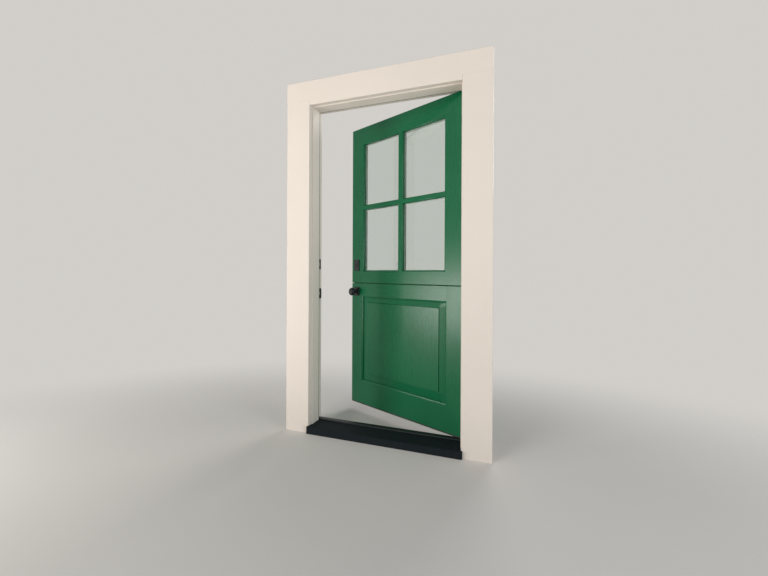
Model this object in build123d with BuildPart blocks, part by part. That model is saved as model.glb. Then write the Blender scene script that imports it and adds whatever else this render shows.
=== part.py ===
from build123d import *
import os

# Leaf: one door cut across into an upper and a lower half, measured shut.
# The outdoor face of the shut leaf is the plane y = 0 and the hinges are on the +X side.
LEAF_WIDTH = 999.0
LEAF_HEIGHT = 2100.0
LEAF_THICKNESS = 45.0
LEAF_EASE = 1.5
SPLIT_HEIGHT = 915.0
SPLIT_GAP = 4.0
HINGE_GAP = 4.0
LOCK_GAP = 3.0
HEAD_GAP = 3.0
OPEN_ANGLE = 24.02

# Upper leaf: two by two lights with an ovolo moulding outdoors and beads indoors
UPPER_STILE_FLAT = 121.0
TOP_RAIL_FLAT = 123.4
MEETING_RAIL_FLAT = 85.6
UPPER_STICKING = 9.5
UPPER_OVOLO = 8.0
QUIRK = 1.5
UPRIGHT_MUNTIN_FLAT = 28.0
CROSS_MUNTIN_FLAT = 19.5
GLASS_DEPTH = 17.0
GLASS_THICKNESS = 11.0
GLASS_REBATE = 8.0
BEAD_HEIGHT = 14.0
BEAD_ROUND = 6.0

# Lower leaf: one raised and fielded panel held in grooves
LOWER_STILE_FLAT = 110.0
PANEL_TOP_RAIL_FLAT = 95.0
BOTTOM_RAIL_FLAT = 168.0
LOWER_STICKING = 12.0
LOWER_OVOLO = 10.0
LOWER_QUIRK = 2.5
PANEL_DEPTH = 13.0
PANEL_GROOVE = 8.0
FIELD_SIDE_BEVEL = 49.0
FIELD_TOP_BEVEL = 37.0
FIELD_BOTTOM_BEVEL = 56.0
FIELD_DEPTH = 3.0
FIELD_STEP = 2.8
SWEEP_HEIGHT = 7.8
SWEEP_CLEARANCE = 0.6
SWEEP_FIN = 4.0
SEAL_CLEARANCE = 0.3
MEETING_SEAL_WIDTH = 8.0
MEETING_SEAL_GROOVE = 5.0

# Frame: rabbeted jambs with a stop, and flat boards round the outdoor edge
JAMB_DEPTH = 139.0
RABBET_THICKNESS = 32.0
STOP_HEIGHT = 12.7
STOP_SETBACK = 8.0
JAMB_EASE = 2.0
CASING_THICKNESS = 36.0
CASING_LEG_WIDTH = 170.7
CASING_HEAD_WIDTH = 160.0
CASING_REVEAL = 8.0
HEAD_REVEAL = 6.0
HEAD_TONGUE = 31.3
CASING_EASE = 3.0
CASING_JOINT_EASE = 0.8
RELIEF_WIDTH = 70.0
RELIEF_DEPTH = 1.5
RELIEF_EDGE = 40.0
SEAL_INSET = 1.0
SEAL_ROUND = 3.0

# Sill: a sloping plate with a rounded nose, and a raised cap under the leaf
SILL_FRONT_HEIGHT = 39.2
SILL_BACK_HEIGHT = 45.0
NOSE_PROJECTION = 17.0
NOSE_LAP = 8.0
NOSE_ROUND = 8.0
CAP_HEIGHT = 8.0
CAP_DEPTH = 42.0
CAP_BEVEL = 4.0

# Butt hinges: five knuckles each, three on the jamb and two on the leaf
HINGE_HEIGHT = 100.0
HINGE_END_INSET = 180.0
HINGE_SPLIT_INSET = 150.0
HINGE_PLATE_THICKNESS = 2.5
HINGE_PLATE_DEPTH = 32.0
HINGE_CORNER = 6.0
KNUCKLES = 5
KNUCKLE_RADIUS = 6.5
KNUCKLE_GAP = 0.3
KNUCKLE_CLEARANCE = 0.3
PIN_PROJECTION = 7.0
PIN_RADIUS = 3.0
PIN_CLEARANCE = 0.05
PIN_HEAD_RADIUS = 5.0
PIN_HEAD_HEIGHT = 2.5
HINGE_SCREW_PITCH = 35.0
HINGE_SCREW_STAGGER = 5.0

# Countersunk wood screws
SCREW_HEAD_RADIUS = 4.4
SCREW_SHANK_RADIUS = 2.0
SCREW_LENGTH = 22.0
SCREW_CLEARANCE = 0.1

# Bored locks in the free stile: a deadbolt above the split and a latch below it
LOCK_BACKSET = 55.5
DEADBOLT_ABOVE_SPLIT = 136.0
LATCH_BELOW_SPLIT = 66.0
CROSS_BORE_RADIUS = 20.0
EDGE_BORE_DEPTH = 93.0
SLEEVE_RADIUS = 12.5
SLEEVE_LENGTH = 34.0
FACEPLATE_WIDTH = 25.4
FACEPLATE_HEIGHT = 57.0
FACEPLATE_THICKNESS = 2.5
FACEPLATE_CORNER = 6.0
FACEPLATE_SCREW_OFFSET = 21.5
BOLT_RADIUS = 11.0
BOLT_THICKNESS = 13.0
BOLT_CLEARANCE = 0.1
BOLT_HEAD_LENGTH = 37.0
YOKE_THICKNESS = 4.0
YOKE_WALL = 4.0
YOKE_HEIGHT = 20.0
DEADBOLT_THROW = 25.0
DEADBOLT_RECESS = 0.5
LATCH_THROW = 12.0
LATCH_TRAVEL = 11.5
LATCH_BEVEL = 10.0
TURN_SHAFT_RADIUS = 7.0
SHAFT_CLEARANCE = 0.05
TAILPIECE_WIDTH = 6.0
TAILPIECE_THICKNESS = 2.4
SPINDLE_WIDTH = 8.0
YOKE_SLOT_CLEARANCE = 0.5

# Furniture on the faces of the leaf
LOCK_PLATE_WIDTH = 54.0
LOCK_PLATE_HEIGHT = 85.0
LOCK_PLATE_THICKNESS = 8.0
LOCK_PLATE_CORNER = 3.0
LOCK_PLATE_SCREW_OFFSET = 33.0
KEY_BOSS_RADIUS = 16.0
KEY_BOSS_HEIGHT = 3.0
KEY_PLUG_RADIUS = 9.0
KEY_PLUG_PROJECTION = 1.0
KEYWAY_WIDTH = 2.2
KEYWAY_HEIGHT = 10.0
TURN_COLLAR_RADIUS = 11.0
TURN_COLLAR_HEIGHT = 3.0
TURN_GRIP_LENGTH = 36.0
TURN_GRIP_WIDTH = 9.0
TURN_GRIP_HEIGHT = 15.0
ROSE_WIDTH = 52.0
ROSE_HEIGHT = 65.0
ROSE_THICKNESS = 10.0
ROSE_SCREW_OFFSET = 26.0
PLATE_CHAMFER = 1.5
KNOB_RADIUS = 30.0
KNOB_HALF_DEPTH = 20.0
KNOB_PROJECTION = 72.0
KNOB_NECK_RADIUS = 11.0
KNOB_NECK_START = 2.0
KNOB_NECK_ROUND = 6.0
SPINDLE_PROJECTION = 30.0

# Strike plates let into the jamb
STRIKE_THICKNESS = 2.5
LATCH_STRIKE_DEPTH = 43.0
STRIKE_HEIGHT = 70.0
DEADBOLT_STRIKE_WIDTH = 28.0
STRIKE_HOLE_WIDTH = 15.0
STRIKE_HOLE_HEIGHT = 24.0
STRIKE_SCREW_OFFSET = 27.0
STRIKE_CORNER = 4.0
LIP_RADIUS = 8.0
LIP_TURN = 60.0
LIP_HEIGHT = 32.0
LATCH_POCKET_DEPTH = 15.0
DEADBOLT_POCKET_DEPTH = 27.0

# Coupling bolt indoors, which joins the two leaves so that they swing as one
COUPLING_OFFSET = 160.0
COUPLING_EDGE = 4.0
COUPLING_PLATE_WIDTH = 34.0
COUPLING_PLATE_HEIGHT = 84.0
COUPLING_PLATE_THICKNESS = 3.0
COUPLING_CORNER = 4.0
GUIDE_WIDTH = 20.0
GUIDE_HEIGHT = 14.0
GUIDE_DEPTH = 15.0
GUIDE_INSET = 4.0
GUIDE_ROUND = 5.0
ROD_RADIUS = 5.0
ROD_CLEARANCE = 0.08
ROD_DEPTH = 8.0
ROD_REST = 2.0
PULL_RADIUS = 4.0
PULL_LENGTH = 17.0
PULL_GAP = 1.0
KEEPER_HEIGHT = 40.0
KEEPER_SCREW_OFFSET = 8.0
COUPLING_SCREW_SPREAD = 24.0

# Places worked out from the sizes above
half_opening = (LEAF_WIDTH + HINGE_GAP + LOCK_GAP) / 2
leaf_right = half_opening - HINGE_GAP
leaf_left = -half_opening + LOCK_GAP
leaf_middle = (leaf_left + leaf_right) / 2
cap_top = SILL_BACK_HEIGHT + CAP_HEIGHT
leaf_bottom = cap_top + SWEEP_CLEARANCE + SWEEP_HEIGHT
leaf_top = leaf_bottom + LEAF_HEIGHT
cut_height = leaf_bottom + SPLIT_HEIGHT
lower_top = cut_height - SPLIT_GAP / 2
upper_bottom = lower_top + SPLIT_GAP
rabbet_top = leaf_top + HEAD_GAP
mid_depth = LEAF_THICKNESS / 2

stop_x = half_opening - STOP_HEIGHT
stop_top = rabbet_top - STOP_HEIGHT
jamb_outer = half_opening + RABBET_THICKNESS
jamb_front = LEAF_THICKNESS - JAMB_DEPTH
casing_front = jamb_front - CASING_THICKNESS
casing_inner = stop_x + CASING_REVEAL
casing_outer = casing_inner + CASING_LEG_WIDTH
casing_head_bottom = stop_top + HEAD_REVEAL
casing_leg_top = casing_head_bottom + HEAD_TONGUE
casing_top = casing_head_bottom + CASING_HEAD_WIDTH
nose_front = casing_front - NOSE_PROJECTION

pin_x = half_opening - HINGE_GAP / 2
pin_y = LEAF_THICKNESS + PIN_PROJECTION
lower_hinges = (leaf_bottom + HINGE_END_INSET, lower_top - HINGE_SPLIT_INSET)
upper_hinges = (upper_bottom + HINGE_SPLIT_INSET, leaf_top - HINGE_END_INSET)
hinge_inner_y = LEAF_THICKNESS - HINGE_PLATE_DEPTH

lock_axis = leaf_left + LOCK_BACKSET
deadbolt_z = cut_height + DEADBOLT_ABOVE_SPLIT
latch_z = cut_height - LATCH_BELOW_SPLIT
bolt_hole_radius = BOLT_RADIUS + BOLT_CLEARANCE
screw_hole_radius = SCREW_SHANK_RADIUS + SCREW_CLEARANCE
screw_sink_radius = SCREW_HEAD_RADIUS + SCREW_CLEARANCE

coupling_x = leaf_left + COUPLING_OFFSET
coupling_top = lower_top - COUPLING_EDGE
coupling_bottom = coupling_top - COUPLING_PLATE_HEIGHT
coupling_rod_y = LEAF_THICKNESS + COUPLING_PLATE_THICKNESS + ROD_DEPTH
keeper_bottom = upper_bottom + COUPLING_EDGE

# The leaves stand open, turned about the hinge pins, so their planes turn with them
swing = Pos(pin_x, pin_y) * Rot(0, 0, -OPEN_ANGLE) * Pos(-pin_x, -pin_y)


def on_leaf(plane):
    """A plane of the shut leaf, carried round the pins to where the leaf stands."""
    return Plane(swing * plane.location)


# Sketches on a front plane use (x, z), on an edge plane (y, z) or (-y, z), on a plan (x, y)
leaf_front = on_leaf(Plane.XZ)
leaf_back = on_leaf(Plane(origin=(0, LEAF_THICKNESS, 0), x_dir=(-1, 0, 0), z_dir=(0, 1, 0)))
leaf_plan = on_leaf(Plane.XY)
hinge_edge = on_leaf(Plane(origin=(leaf_right, 0, 0), x_dir=(0, 1, 0), z_dir=(1, 0, 0)))
lock_edge = on_leaf(Plane(origin=(leaf_left, 0, 0), x_dir=(0, -1, 0), z_dir=(-1, 0, 0)))
hinge_rabbet = Plane(origin=(half_opening, 0, 0), x_dir=(0, -1, 0), z_dir=(-1, 0, 0))
strike_rabbet = Plane(origin=(-half_opening, 0, 0), x_dir=(0, 1, 0), z_dir=(1, 0, 0))
into_leaf = Axis(leaf_front.origin, -leaf_front.z_dir)

TOP_ALIGNED = (Align.CENTER, Align.CENTER, Align.MAX)

os.makedirs("parts", exist_ok=True)


def save(piece, name):
    """Label a finished piece and write its file."""
    piece.label = name
    export_step(piece, f"parts/{name}.step")


def spots(plane, points):
    """The places of points drawn on a plane, each facing out of it."""
    return [plane.location * Pos(across, up) for across, up in points]


def drilled(piece, places, length=SCREW_LENGTH):
    """A wooden piece with a pilot hole for a screw at each place."""
    with BuildPart() as wood:
        add(piece)
        with Locations(*places):
            Cylinder(SCREW_SHANK_RADIUS, length, align=TOP_ALIGNED, mode=Mode.SUBTRACT)
    return wood.part


def screws(places, length=SCREW_LENGTH):
    """Countersunk screws, one at each place, with their heads flush."""
    with BuildPart() as group:
        with Locations(*places):
            Cylinder(SCREW_SHANK_RADIUS, length, align=TOP_ALIGNED)
            Cone(
                SCREW_SHANK_RADIUS,
                SCREW_HEAD_RADIUS,
                SCREW_HEAD_RADIUS - SCREW_SHANK_RADIUS,
                align=TOP_ALIGNED,
            )
    return group.part


# Sill: the plate laps the ends of the boards in front and runs under the jambs
with BuildPart() as threshold:
    with BuildSketch(Plane.YZ) as sill_section:
        with BuildLine():
            Polyline(
                (nose_front, 0),
                (LEAF_THICKNESS, 0),
                (LEAF_THICKNESS, SILL_BACK_HEIGHT),
                (-STOP_SETBACK, SILL_BACK_HEIGHT),
                (nose_front, SILL_FRONT_HEIGHT),
                close=True,
            )
        make_face()
        nose_corner = sill_section.vertices().sort_by_distance((nose_front, SILL_FRONT_HEIGHT))[:1]
        fillet(nose_corner, NOSE_ROUND)
    extrude(amount=jamb_outer, both=True)
    with BuildSketch() as sill_outline:
        with Locations((0, (nose_front + casing_front) / 2)):
            Rectangle(2 * (casing_inner + NOSE_LAP), NOSE_PROJECTION)
        fillet(sill_outline.vertices().group_by(Axis.Y)[0], NOSE_ROUND)
        with Locations((0, (casing_front + jamb_front) / 2)):
            Rectangle(2 * casing_inner, CASING_THICKNESS)
        with Locations((0, (jamb_front + LEAF_THICKNESS) / 2)):
            Rectangle(2 * jamb_outer, JAMB_DEPTH)
    extrude(amount=SILL_BACK_HEIGHT, mode=Mode.INTERSECT)
save(threshold.part, "threshold")

# Cap: the raised strip that the foot of the lower leaf shuts over
with BuildPart() as threshold_cap:
    with BuildSketch(Plane.YZ) as cap_section:
        with Locations((-STOP_SETBACK + CAP_DEPTH / 2, SILL_BACK_HEIGHT + CAP_HEIGHT / 2)):
            Rectangle(CAP_DEPTH, CAP_HEIGHT)
        chamfer(cap_section.vertices().group_by(Axis.Y)[-1], CAP_BEVEL)
    extrude(amount=half_opening, both=True)
save(threshold_cap.part, "threshold_cap")


def side_jamb(side):
    """A side jamb with its stop, standing on the sill; side is 1 at the hinges and -1 at the locks."""
    with BuildPart() as jamb:
        with BuildSketch() as section:
            with BuildLine():
                Polyline(
                    (side * stop_x, jamb_front),
                    (side * jamb_outer, jamb_front),
                    (side * jamb_outer, LEAF_THICKNESS),
                    (side * half_opening, LEAF_THICKNESS),
                    (side * half_opening, -STOP_SETBACK),
                    (side * stop_x, -STOP_SETBACK),
                    close=True,
                )
            make_face()
            inner = section.vertices().sort_by_distance((0, jamb_front))[:1]
            arrises = inner + section.vertices().sort_by_distance((side * stop_x, -STOP_SETBACK))[:1]
            fillet(arrises, JAMB_EASE)
        extrude(amount=rabbet_top)
        add(threshold.part, mode=Mode.SUBTRACT)
    return jamb.part


def plate_mortise(jamb, plane, across, heights, size, depth, corner):
    """A piece with a flat recess at each height, drawn on the plane that it is cut into."""
    with BuildPart() as cut:
        add(jamb)
        with BuildSketch(plane):
            with Locations(*[(across, height) for height in heights]):
                RectangleRounded(size[0], size[1], corner)
        extrude(amount=-depth, mode=Mode.SUBTRACT)
    return cut.part


def hinge_spots(plane, heights, facing):
    """Screw places on hinge plates; facing is the sign of depth along the plane's first axis."""
    middle = LEAF_THICKNESS - HINGE_PLATE_DEPTH / 2
    steps = (-1, 0, 1)
    return spots(
        plane,
        [
            (
                facing * (middle + HINGE_SCREW_STAGGER * (1 - 2 * abs(step))),
                height + step * HINGE_SCREW_PITCH,
            )
            for height in heights
            for step in steps
        ],
    )


# The recess runs out through the indoor edge, so it is drawn longer than the plate
recess_size = (HINGE_PLATE_DEPTH + 2 * HINGE_CORNER, HINGE_HEIGHT)
recess_middle = hinge_inner_y + HINGE_PLATE_DEPTH / 2 + HINGE_CORNER
jamb_hinge_spots = hinge_spots(hinge_rabbet, lower_hinges + upper_hinges, -1)
hinge_jamb = plate_mortise(
    side_jamb(1),
    hinge_rabbet,
    -recess_middle,
    lower_hinges + upper_hinges,
    recess_size,
    HINGE_PLATE_THICKNESS,
    HINGE_CORNER,
)
hinge_jamb = drilled(hinge_jamb, jamb_hinge_spots)
save(hinge_jamb, "hinge_jamb")

# Strike side: recesses for both plates and pockets for both bolts
strike_spots = spots(
    strike_rabbet,
    [
        (mid_depth, height + sign * STRIKE_SCREW_OFFSET)
        for height in (latch_z, deadbolt_z)
        for sign in (-1, 1)
    ],
)
with BuildPart() as strike_jamb:
    add(drilled(side_jamb(-1), strike_spots))
    with BuildSketch(strike_rabbet):
        with Locations((LEAF_THICKNESS - LATCH_STRIKE_DEPTH / 2 + STRIKE_CORNER, latch_z)):
            RectangleRounded(LATCH_STRIKE_DEPTH + 2 * STRIKE_CORNER, STRIKE_HEIGHT, STRIKE_CORNER)
        with Locations((mid_depth, deadbolt_z)):
            RectangleRounded(DEADBOLT_STRIKE_WIDTH, STRIKE_HEIGHT, STRIKE_CORNER)
    extrude(amount=-STRIKE_THICKNESS, mode=Mode.SUBTRACT)
    for height, depth in ((latch_z, LATCH_POCKET_DEPTH), (deadbolt_z, DEADBOLT_POCKET_DEPTH)):
        with BuildSketch(strike_rabbet):
            with Locations((mid_depth, height)):
                Rectangle(STRIKE_HOLE_WIDTH, STRIKE_HOLE_HEIGHT)
        extrude(amount=-depth, mode=Mode.SUBTRACT)
save(strike_jamb.part, "strike_jamb")

# Head: the board lies on the side jambs and its stop drops between theirs
with BuildPart() as head_jamb:
    with BuildSketch(Plane.YZ) as head_section:
        with Locations(((jamb_front + LEAF_THICKNESS) / 2, rabbet_top + RABBET_THICKNESS / 2)):
            Rectangle(JAMB_DEPTH, RABBET_THICKNESS)
    extrude(amount=jamb_outer, both=True)
    with BuildSketch(Plane.YZ) as head_stop:
        with Locations(((jamb_front - STOP_SETBACK) / 2, rabbet_top - STOP_HEIGHT / 2)):
            Rectangle(-STOP_SETBACK - jamb_front, STOP_HEIGHT)
        fillet(head_stop.vertices().group_by(Axis.Y)[0], JAMB_EASE)
    extrude(amount=stop_x, both=True)
save(head_jamb.part, "head_jamb")


def casing_leg(side):
    """An upright board with eased front edges and a hollowed back."""
    with BuildPart() as leg:
        with BuildSketch() as section:
            with Locations((side * (casing_inner + casing_outer) / 2, (casing_front + jamb_front) / 2)):
                Rectangle(CASING_LEG_WIDTH, CASING_THICKNESS)
            fillet(section.vertices().group_by(Axis.Y)[0], CASING_EASE)
            with Locations((side * (casing_outer - RELIEF_EDGE - RELIEF_WIDTH / 2), jamb_front)):
                Rectangle(RELIEF_WIDTH, 2 * RELIEF_DEPTH, mode=Mode.SUBTRACT)
        extrude(amount=casing_leg_top)
        top_front = leg.edges().group_by(Axis.Z)[-1].filter_by(Axis.X).sort_by(Axis.Y)[0]
        chamfer(top_front, CASING_JOINT_EASE)
    return leg.part


save(casing_leg(1), "casing_hinge_side")
save(casing_leg(-1), "casing_strike_side")

# Head board: notched over the legs, so a tongue of it drops between them
with BuildPart() as casing_head:
    with BuildSketch(Plane.XZ.offset(-jamb_front)):
        with Locations((0, (casing_leg_top + casing_top) / 2)):
            Rectangle(2 * casing_outer, casing_top - casing_leg_top)
        with Locations((0, (casing_head_bottom + casing_leg_top) / 2)):
            Rectangle(2 * casing_inner, HEAD_TONGUE)
    extrude(amount=CASING_THICKNESS)
    front_edges = casing_head.faces().sort_by(Axis.Y)[0].edges()
    rails = front_edges.filter_by(Axis.X).group_by(Axis.Z)
    fillet(rails[0] + rails[-1], CASING_EASE)
    joint_edges = casing_head.faces().sort_by(Axis.Y)[0].edges().filter_by(Axis.X).group_by(Axis.Z)[1]
    chamfer(joint_edges, CASING_JOINT_EASE)
save(casing_head.part, "casing_head")


def side_seal(side):
    """The soft strip in a side rabbet, just clear of the shut leaf."""
    width = STOP_HEIGHT - SEAL_INSET
    depth = STOP_SETBACK - SEAL_CLEARANCE
    with BuildPart() as seal:
        with BuildSketch(Plane.XY.offset(cap_top)) as section:
            with Locations((side * (half_opening - width / 2), -STOP_SETBACK + depth / 2)):
                Rectangle(width, depth)
            bulb = section.vertices().sort_by_distance((side * stop_x, -SEAL_CLEARANCE))[:1]
            fillet(bulb, SEAL_ROUND)
        extrude(amount=rabbet_top - cap_top)
    return seal.part


save(side_seal(1), "seal_hinge_side")
save(side_seal(-1), "seal_strike_side")

with BuildPart() as seal_head:
    head_seal_height = STOP_HEIGHT - SEAL_INSET
    head_seal_depth = STOP_SETBACK - SEAL_CLEARANCE
    with BuildSketch(Plane.YZ) as head_seal_section:
        with Locations((-STOP_SETBACK + head_seal_depth / 2, rabbet_top - head_seal_height / 2)):
            Rectangle(head_seal_depth, head_seal_height)
        bulb_corner = head_seal_section.vertices().sort_by_distance((-SEAL_CLEARANCE, stop_top))[:1]
        fillet(bulb_corner, SEAL_ROUND)
    extrude(amount=stop_x + SEAL_INSET, both=True)
save(seal_head.part, "seal_head")


def bolt_outline(radius, thickness):
    """A round bolt with two flats, drawn in the sketch that is open."""
    Circle(radius)
    Rectangle(thickness, 2 * radius, mode=Mode.INTERSECT)


# Latch strike: its lip curls back over the indoor edge of the jamb
with BuildPart() as latch_strike:
    with BuildSketch(strike_rabbet.offset(-STRIKE_THICKNESS)):
        with Locations((LEAF_THICKNESS - LATCH_STRIKE_DEPTH / 2, latch_z)):
            Rectangle(LATCH_STRIKE_DEPTH, STRIKE_HEIGHT)
    extrude(amount=STRIKE_THICKNESS)
    inner_corners = latch_strike.edges().filter_by(Axis.X).group_by(Axis.Y)[0]
    fillet(inner_corners, STRIKE_CORNER)
    with BuildSketch(Plane.XY.offset(latch_z - LIP_HEIGHT / 2)):
        with Locations((-half_opening - LIP_RADIUS, LEAF_THICKNESS)):
            Circle(LIP_RADIUS)
            Circle(LIP_RADIUS - STRIKE_THICKNESS, mode=Mode.SUBTRACT)
            Rectangle(LIP_RADIUS, LIP_RADIUS, align=(Align.MIN, Align.MIN), mode=Mode.INTERSECT)
            with Locations(Rot(0, 0, LIP_TURN)):
                Rectangle(
                    2 * LIP_RADIUS, LIP_RADIUS, align=(Align.CENTER, Align.MIN), mode=Mode.SUBTRACT
                )
    extrude(amount=LIP_HEIGHT)
    with BuildSketch(strike_rabbet):
        with Locations((mid_depth, latch_z)):
            Rectangle(STRIKE_HOLE_WIDTH, STRIKE_HOLE_HEIGHT)
    extrude(amount=-STRIKE_THICKNESS, mode=Mode.SUBTRACT)
    with Locations(*strike_spots[:2]):
        CounterSinkHole(screw_hole_radius, screw_sink_radius, STRIKE_THICKNESS, 90)
save(latch_strike.part, "latch_strike")

with BuildPart() as deadbolt_strike:
    with BuildSketch(strike_rabbet.offset(-STRIKE_THICKNESS)):
        with Locations((mid_depth, deadbolt_z)):
            RectangleRounded(DEADBOLT_STRIKE_WIDTH, STRIKE_HEIGHT, STRIKE_CORNER)
            Rectangle(STRIKE_HOLE_WIDTH, STRIKE_HOLE_HEIGHT, mode=Mode.SUBTRACT)
    extrude(amount=STRIKE_THICKNESS)
    with Locations(*strike_spots[2:]):
        CounterSinkHole(screw_hole_radius, screw_sink_radius, STRIKE_THICKNESS, 90)
save(deadbolt_strike.part, "deadbolt_strike")
save(screws(jamb_hinge_spots + strike_spots), "jamb_screws")


def hinge_plate(plan, face, facing, inner, outer, height, own_knuckles, bore):
    """One plate of a butt hinge with its knuckles, round the pin that both plates share."""
    bottom = height - HINGE_HEIGHT / 2
    pitch = HINGE_HEIGHT / KNUCKLES
    others = [number for number in range(KNUCKLES) if number not in own_knuckles]
    depth = pin_y - hinge_inner_y
    sideways = Axis(plan.origin, plan.x_dir)
    inwards = Axis(plan.origin, plan.y_dir)
    with BuildPart() as plate:
        with BuildSketch(plan.offset(bottom)):
            with Locations(((inner + outer) / 2, hinge_inner_y + depth / 2)):
                Rectangle(outer - inner, depth)
        extrude(amount=HINGE_HEIGHT)
        free_corners = plate.edges().filter_by(sideways).group_by(inwards)[0]
        fillet(free_corners, HINGE_CORNER)
        for number in others:
            with BuildSketch(plan.offset(bottom + number * pitch - KNUCKLE_GAP / 2)):
                with Locations((pin_x, pin_y)):
                    Circle(KNUCKLE_RADIUS + KNUCKLE_CLEARANCE)
            extrude(amount=pitch + KNUCKLE_GAP, mode=Mode.SUBTRACT)
        for number in own_knuckles:
            with BuildSketch(plan.offset(bottom + number * pitch + KNUCKLE_GAP / 2)):
                with Locations((pin_x, pin_y)):
                    Circle(KNUCKLE_RADIUS)
            extrude(amount=pitch - KNUCKLE_GAP)
        with BuildSketch(plan.offset(bottom)):
            with Locations((pin_x, pin_y)):
                Circle(bore)
        extrude(amount=HINGE_HEIGHT, mode=Mode.SUBTRACT)
        with Locations(*hinge_spots(face, (height,), facing)):
            CounterSinkHole(screw_hole_radius, screw_sink_radius, HINGE_PLATE_THICKNESS, 90)
    return plate.part


jamb_knuckles = range(0, KNUCKLES, 2)
leaf_knuckles = range(1, KNUCKLES, 2)
for number, height in enumerate(lower_hinges + upper_hinges, start=1):
    fixed_plate = hinge_plate(
        Plane.XY,
        hinge_rabbet,
        -1,
        half_opening,
        half_opening + HINGE_PLATE_THICKNESS,
        height,
        jamb_knuckles,
        PIN_RADIUS,
    )
    moving_plate = hinge_plate(
        leaf_plan,
        hinge_edge,
        1,
        leaf_right - HINGE_PLATE_THICKNESS,
        leaf_right,
        height,
        leaf_knuckles,
        PIN_RADIUS + PIN_CLEARANCE,
    )
    save(fixed_plate, f"hinge_{number}_jamb_plate")
    save(moving_plate, f"hinge_{number}_leaf_plate")

with BuildPart() as hinge_pins:
    for height in lower_hinges + upper_hinges:
        with Locations((pin_x, pin_y, height)):
            Cylinder(PIN_RADIUS, HINGE_HEIGHT)
            for end in (-1, 1):
                with Locations((0, 0, end * (HINGE_HEIGHT + PIN_HEAD_HEIGHT) / 2)):
                    Cylinder(PIN_HEAD_RADIUS, PIN_HEAD_HEIGHT)
save(hinge_pins.part, "hinge_pins")


def leaf_piece(slab, outlines, neighbours=()):
    """The part of a moulded slab inside the outlines, less the pieces that it is jointed to."""
    with BuildPart() as piece:
        with BuildSketch(leaf_front):
            for outline in outlines:
                Polygon(*outline, align=None)
        extrude(amount=-LEAF_THICKNESS)
        add(slab, mode=Mode.INTERSECT)
        for neighbour in neighbours:
            add(neighbour, mode=Mode.SUBTRACT)
    return piece.part


def rail_outline(left, right, edge, flat, moulding):
    """A rail from its outer edge to its moulding, mitred into the stiles; moulding is signed."""
    inset = abs(moulding)
    return [
        (left, edge),
        (right, edge),
        (right, flat),
        (right - inset, flat + moulding),
        (left + inset, flat + moulding),
        (left, flat),
    ]


def bar_outline(left, right, middle, flat, moulding):
    """A crosswise glazing bar with its moulding mitred at both ends."""
    half = flat / 2
    return [
        (left, middle - half),
        (left + moulding, middle - half - moulding),
        (right - moulding, middle - half - moulding),
        (right, middle - half),
        (right, middle + half),
        (right - moulding, middle + half + moulding),
        (left + moulding, middle + half + moulding),
        (left, middle + half),
    ]


def stile_outline(edge, flat, bottom, top):
    """A stile from its outer edge to the inner edge of its moulding."""
    return [(edge, bottom), (flat, bottom), (flat, top), (edge, top)]


def mortised_stile(stile, heights):
    """A hinge stile with recesses for the hinge plates and pilot holes for their screws."""
    cut = plate_mortise(
        stile, hinge_edge, recess_middle, heights, recess_size, HINGE_PLATE_THICKNESS, HINGE_CORNER
    )
    return drilled(cut, hinge_spots(hinge_edge, heights, 1))


def faceplate_spots(height):
    """The two screws of a faceplate on the lock edge."""
    return spots(
        lock_edge, [(-mid_depth, height + sign * FACEPLATE_SCREW_OFFSET) for sign in (-1, 1)]
    )


def plate_spots(height, offset, thickness):
    """The two screws through a plate on the indoor face."""
    return spots(
        leaf_back.offset(thickness), [(-lock_axis, height + sign * offset) for sign in (-1, 1)]
    )


def bored_stile(stile, height, screw_places):
    """A lock stile bored through its face and its edge, with the faceplate's recess."""
    with BuildPart() as bored:
        add(drilled(stile, screw_places))
        with BuildSketch(leaf_front):
            with Locations((lock_axis, height)):
                Circle(CROSS_BORE_RADIUS)
        extrude(amount=-LEAF_THICKNESS, mode=Mode.SUBTRACT)
        with BuildSketch(lock_edge):
            with Locations((-mid_depth, height)):
                Circle(SLEEVE_RADIUS)
        extrude(amount=-EDGE_BORE_DEPTH, mode=Mode.SUBTRACT)
        with BuildSketch(lock_edge):
            with Locations((-mid_depth, height)):
                RectangleRounded(FACEPLATE_WIDTH, FACEPLATE_HEIGHT, FACEPLATE_CORNER)
        extrude(amount=-FACEPLATE_THICKNESS, mode=Mode.SUBTRACT)
    return bored.part


# Upper leaf, as one moulded slab that is then cut into its pieces
lights_left = leaf_left + UPPER_STILE_FLAT + UPPER_STICKING
lights_right = leaf_right - UPPER_STILE_FLAT - UPPER_STICKING
lights_bottom = upper_bottom + MEETING_RAIL_FLAT + UPPER_STICKING
lights_top = leaf_top - TOP_RAIL_FLAT - UPPER_STICKING
lights_middle = (lights_bottom + lights_top) / 2
upright_width = UPRIGHT_MUNTIN_FLAT + 2 * UPPER_STICKING
cross_height = CROSS_MUNTIN_FLAT + 2 * UPPER_STICKING
light_width = (lights_right - lights_left - upright_width) / 2
light_height = (lights_top - lights_bottom - cross_height) / 2
light_places = [
    (
        leaf_middle + across * (light_width + upright_width) / 2,
        lights_middle + up * (light_height + cross_height) / 2,
    )
    for up in (1, -1)
    for across in (-1, 1)
]

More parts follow.
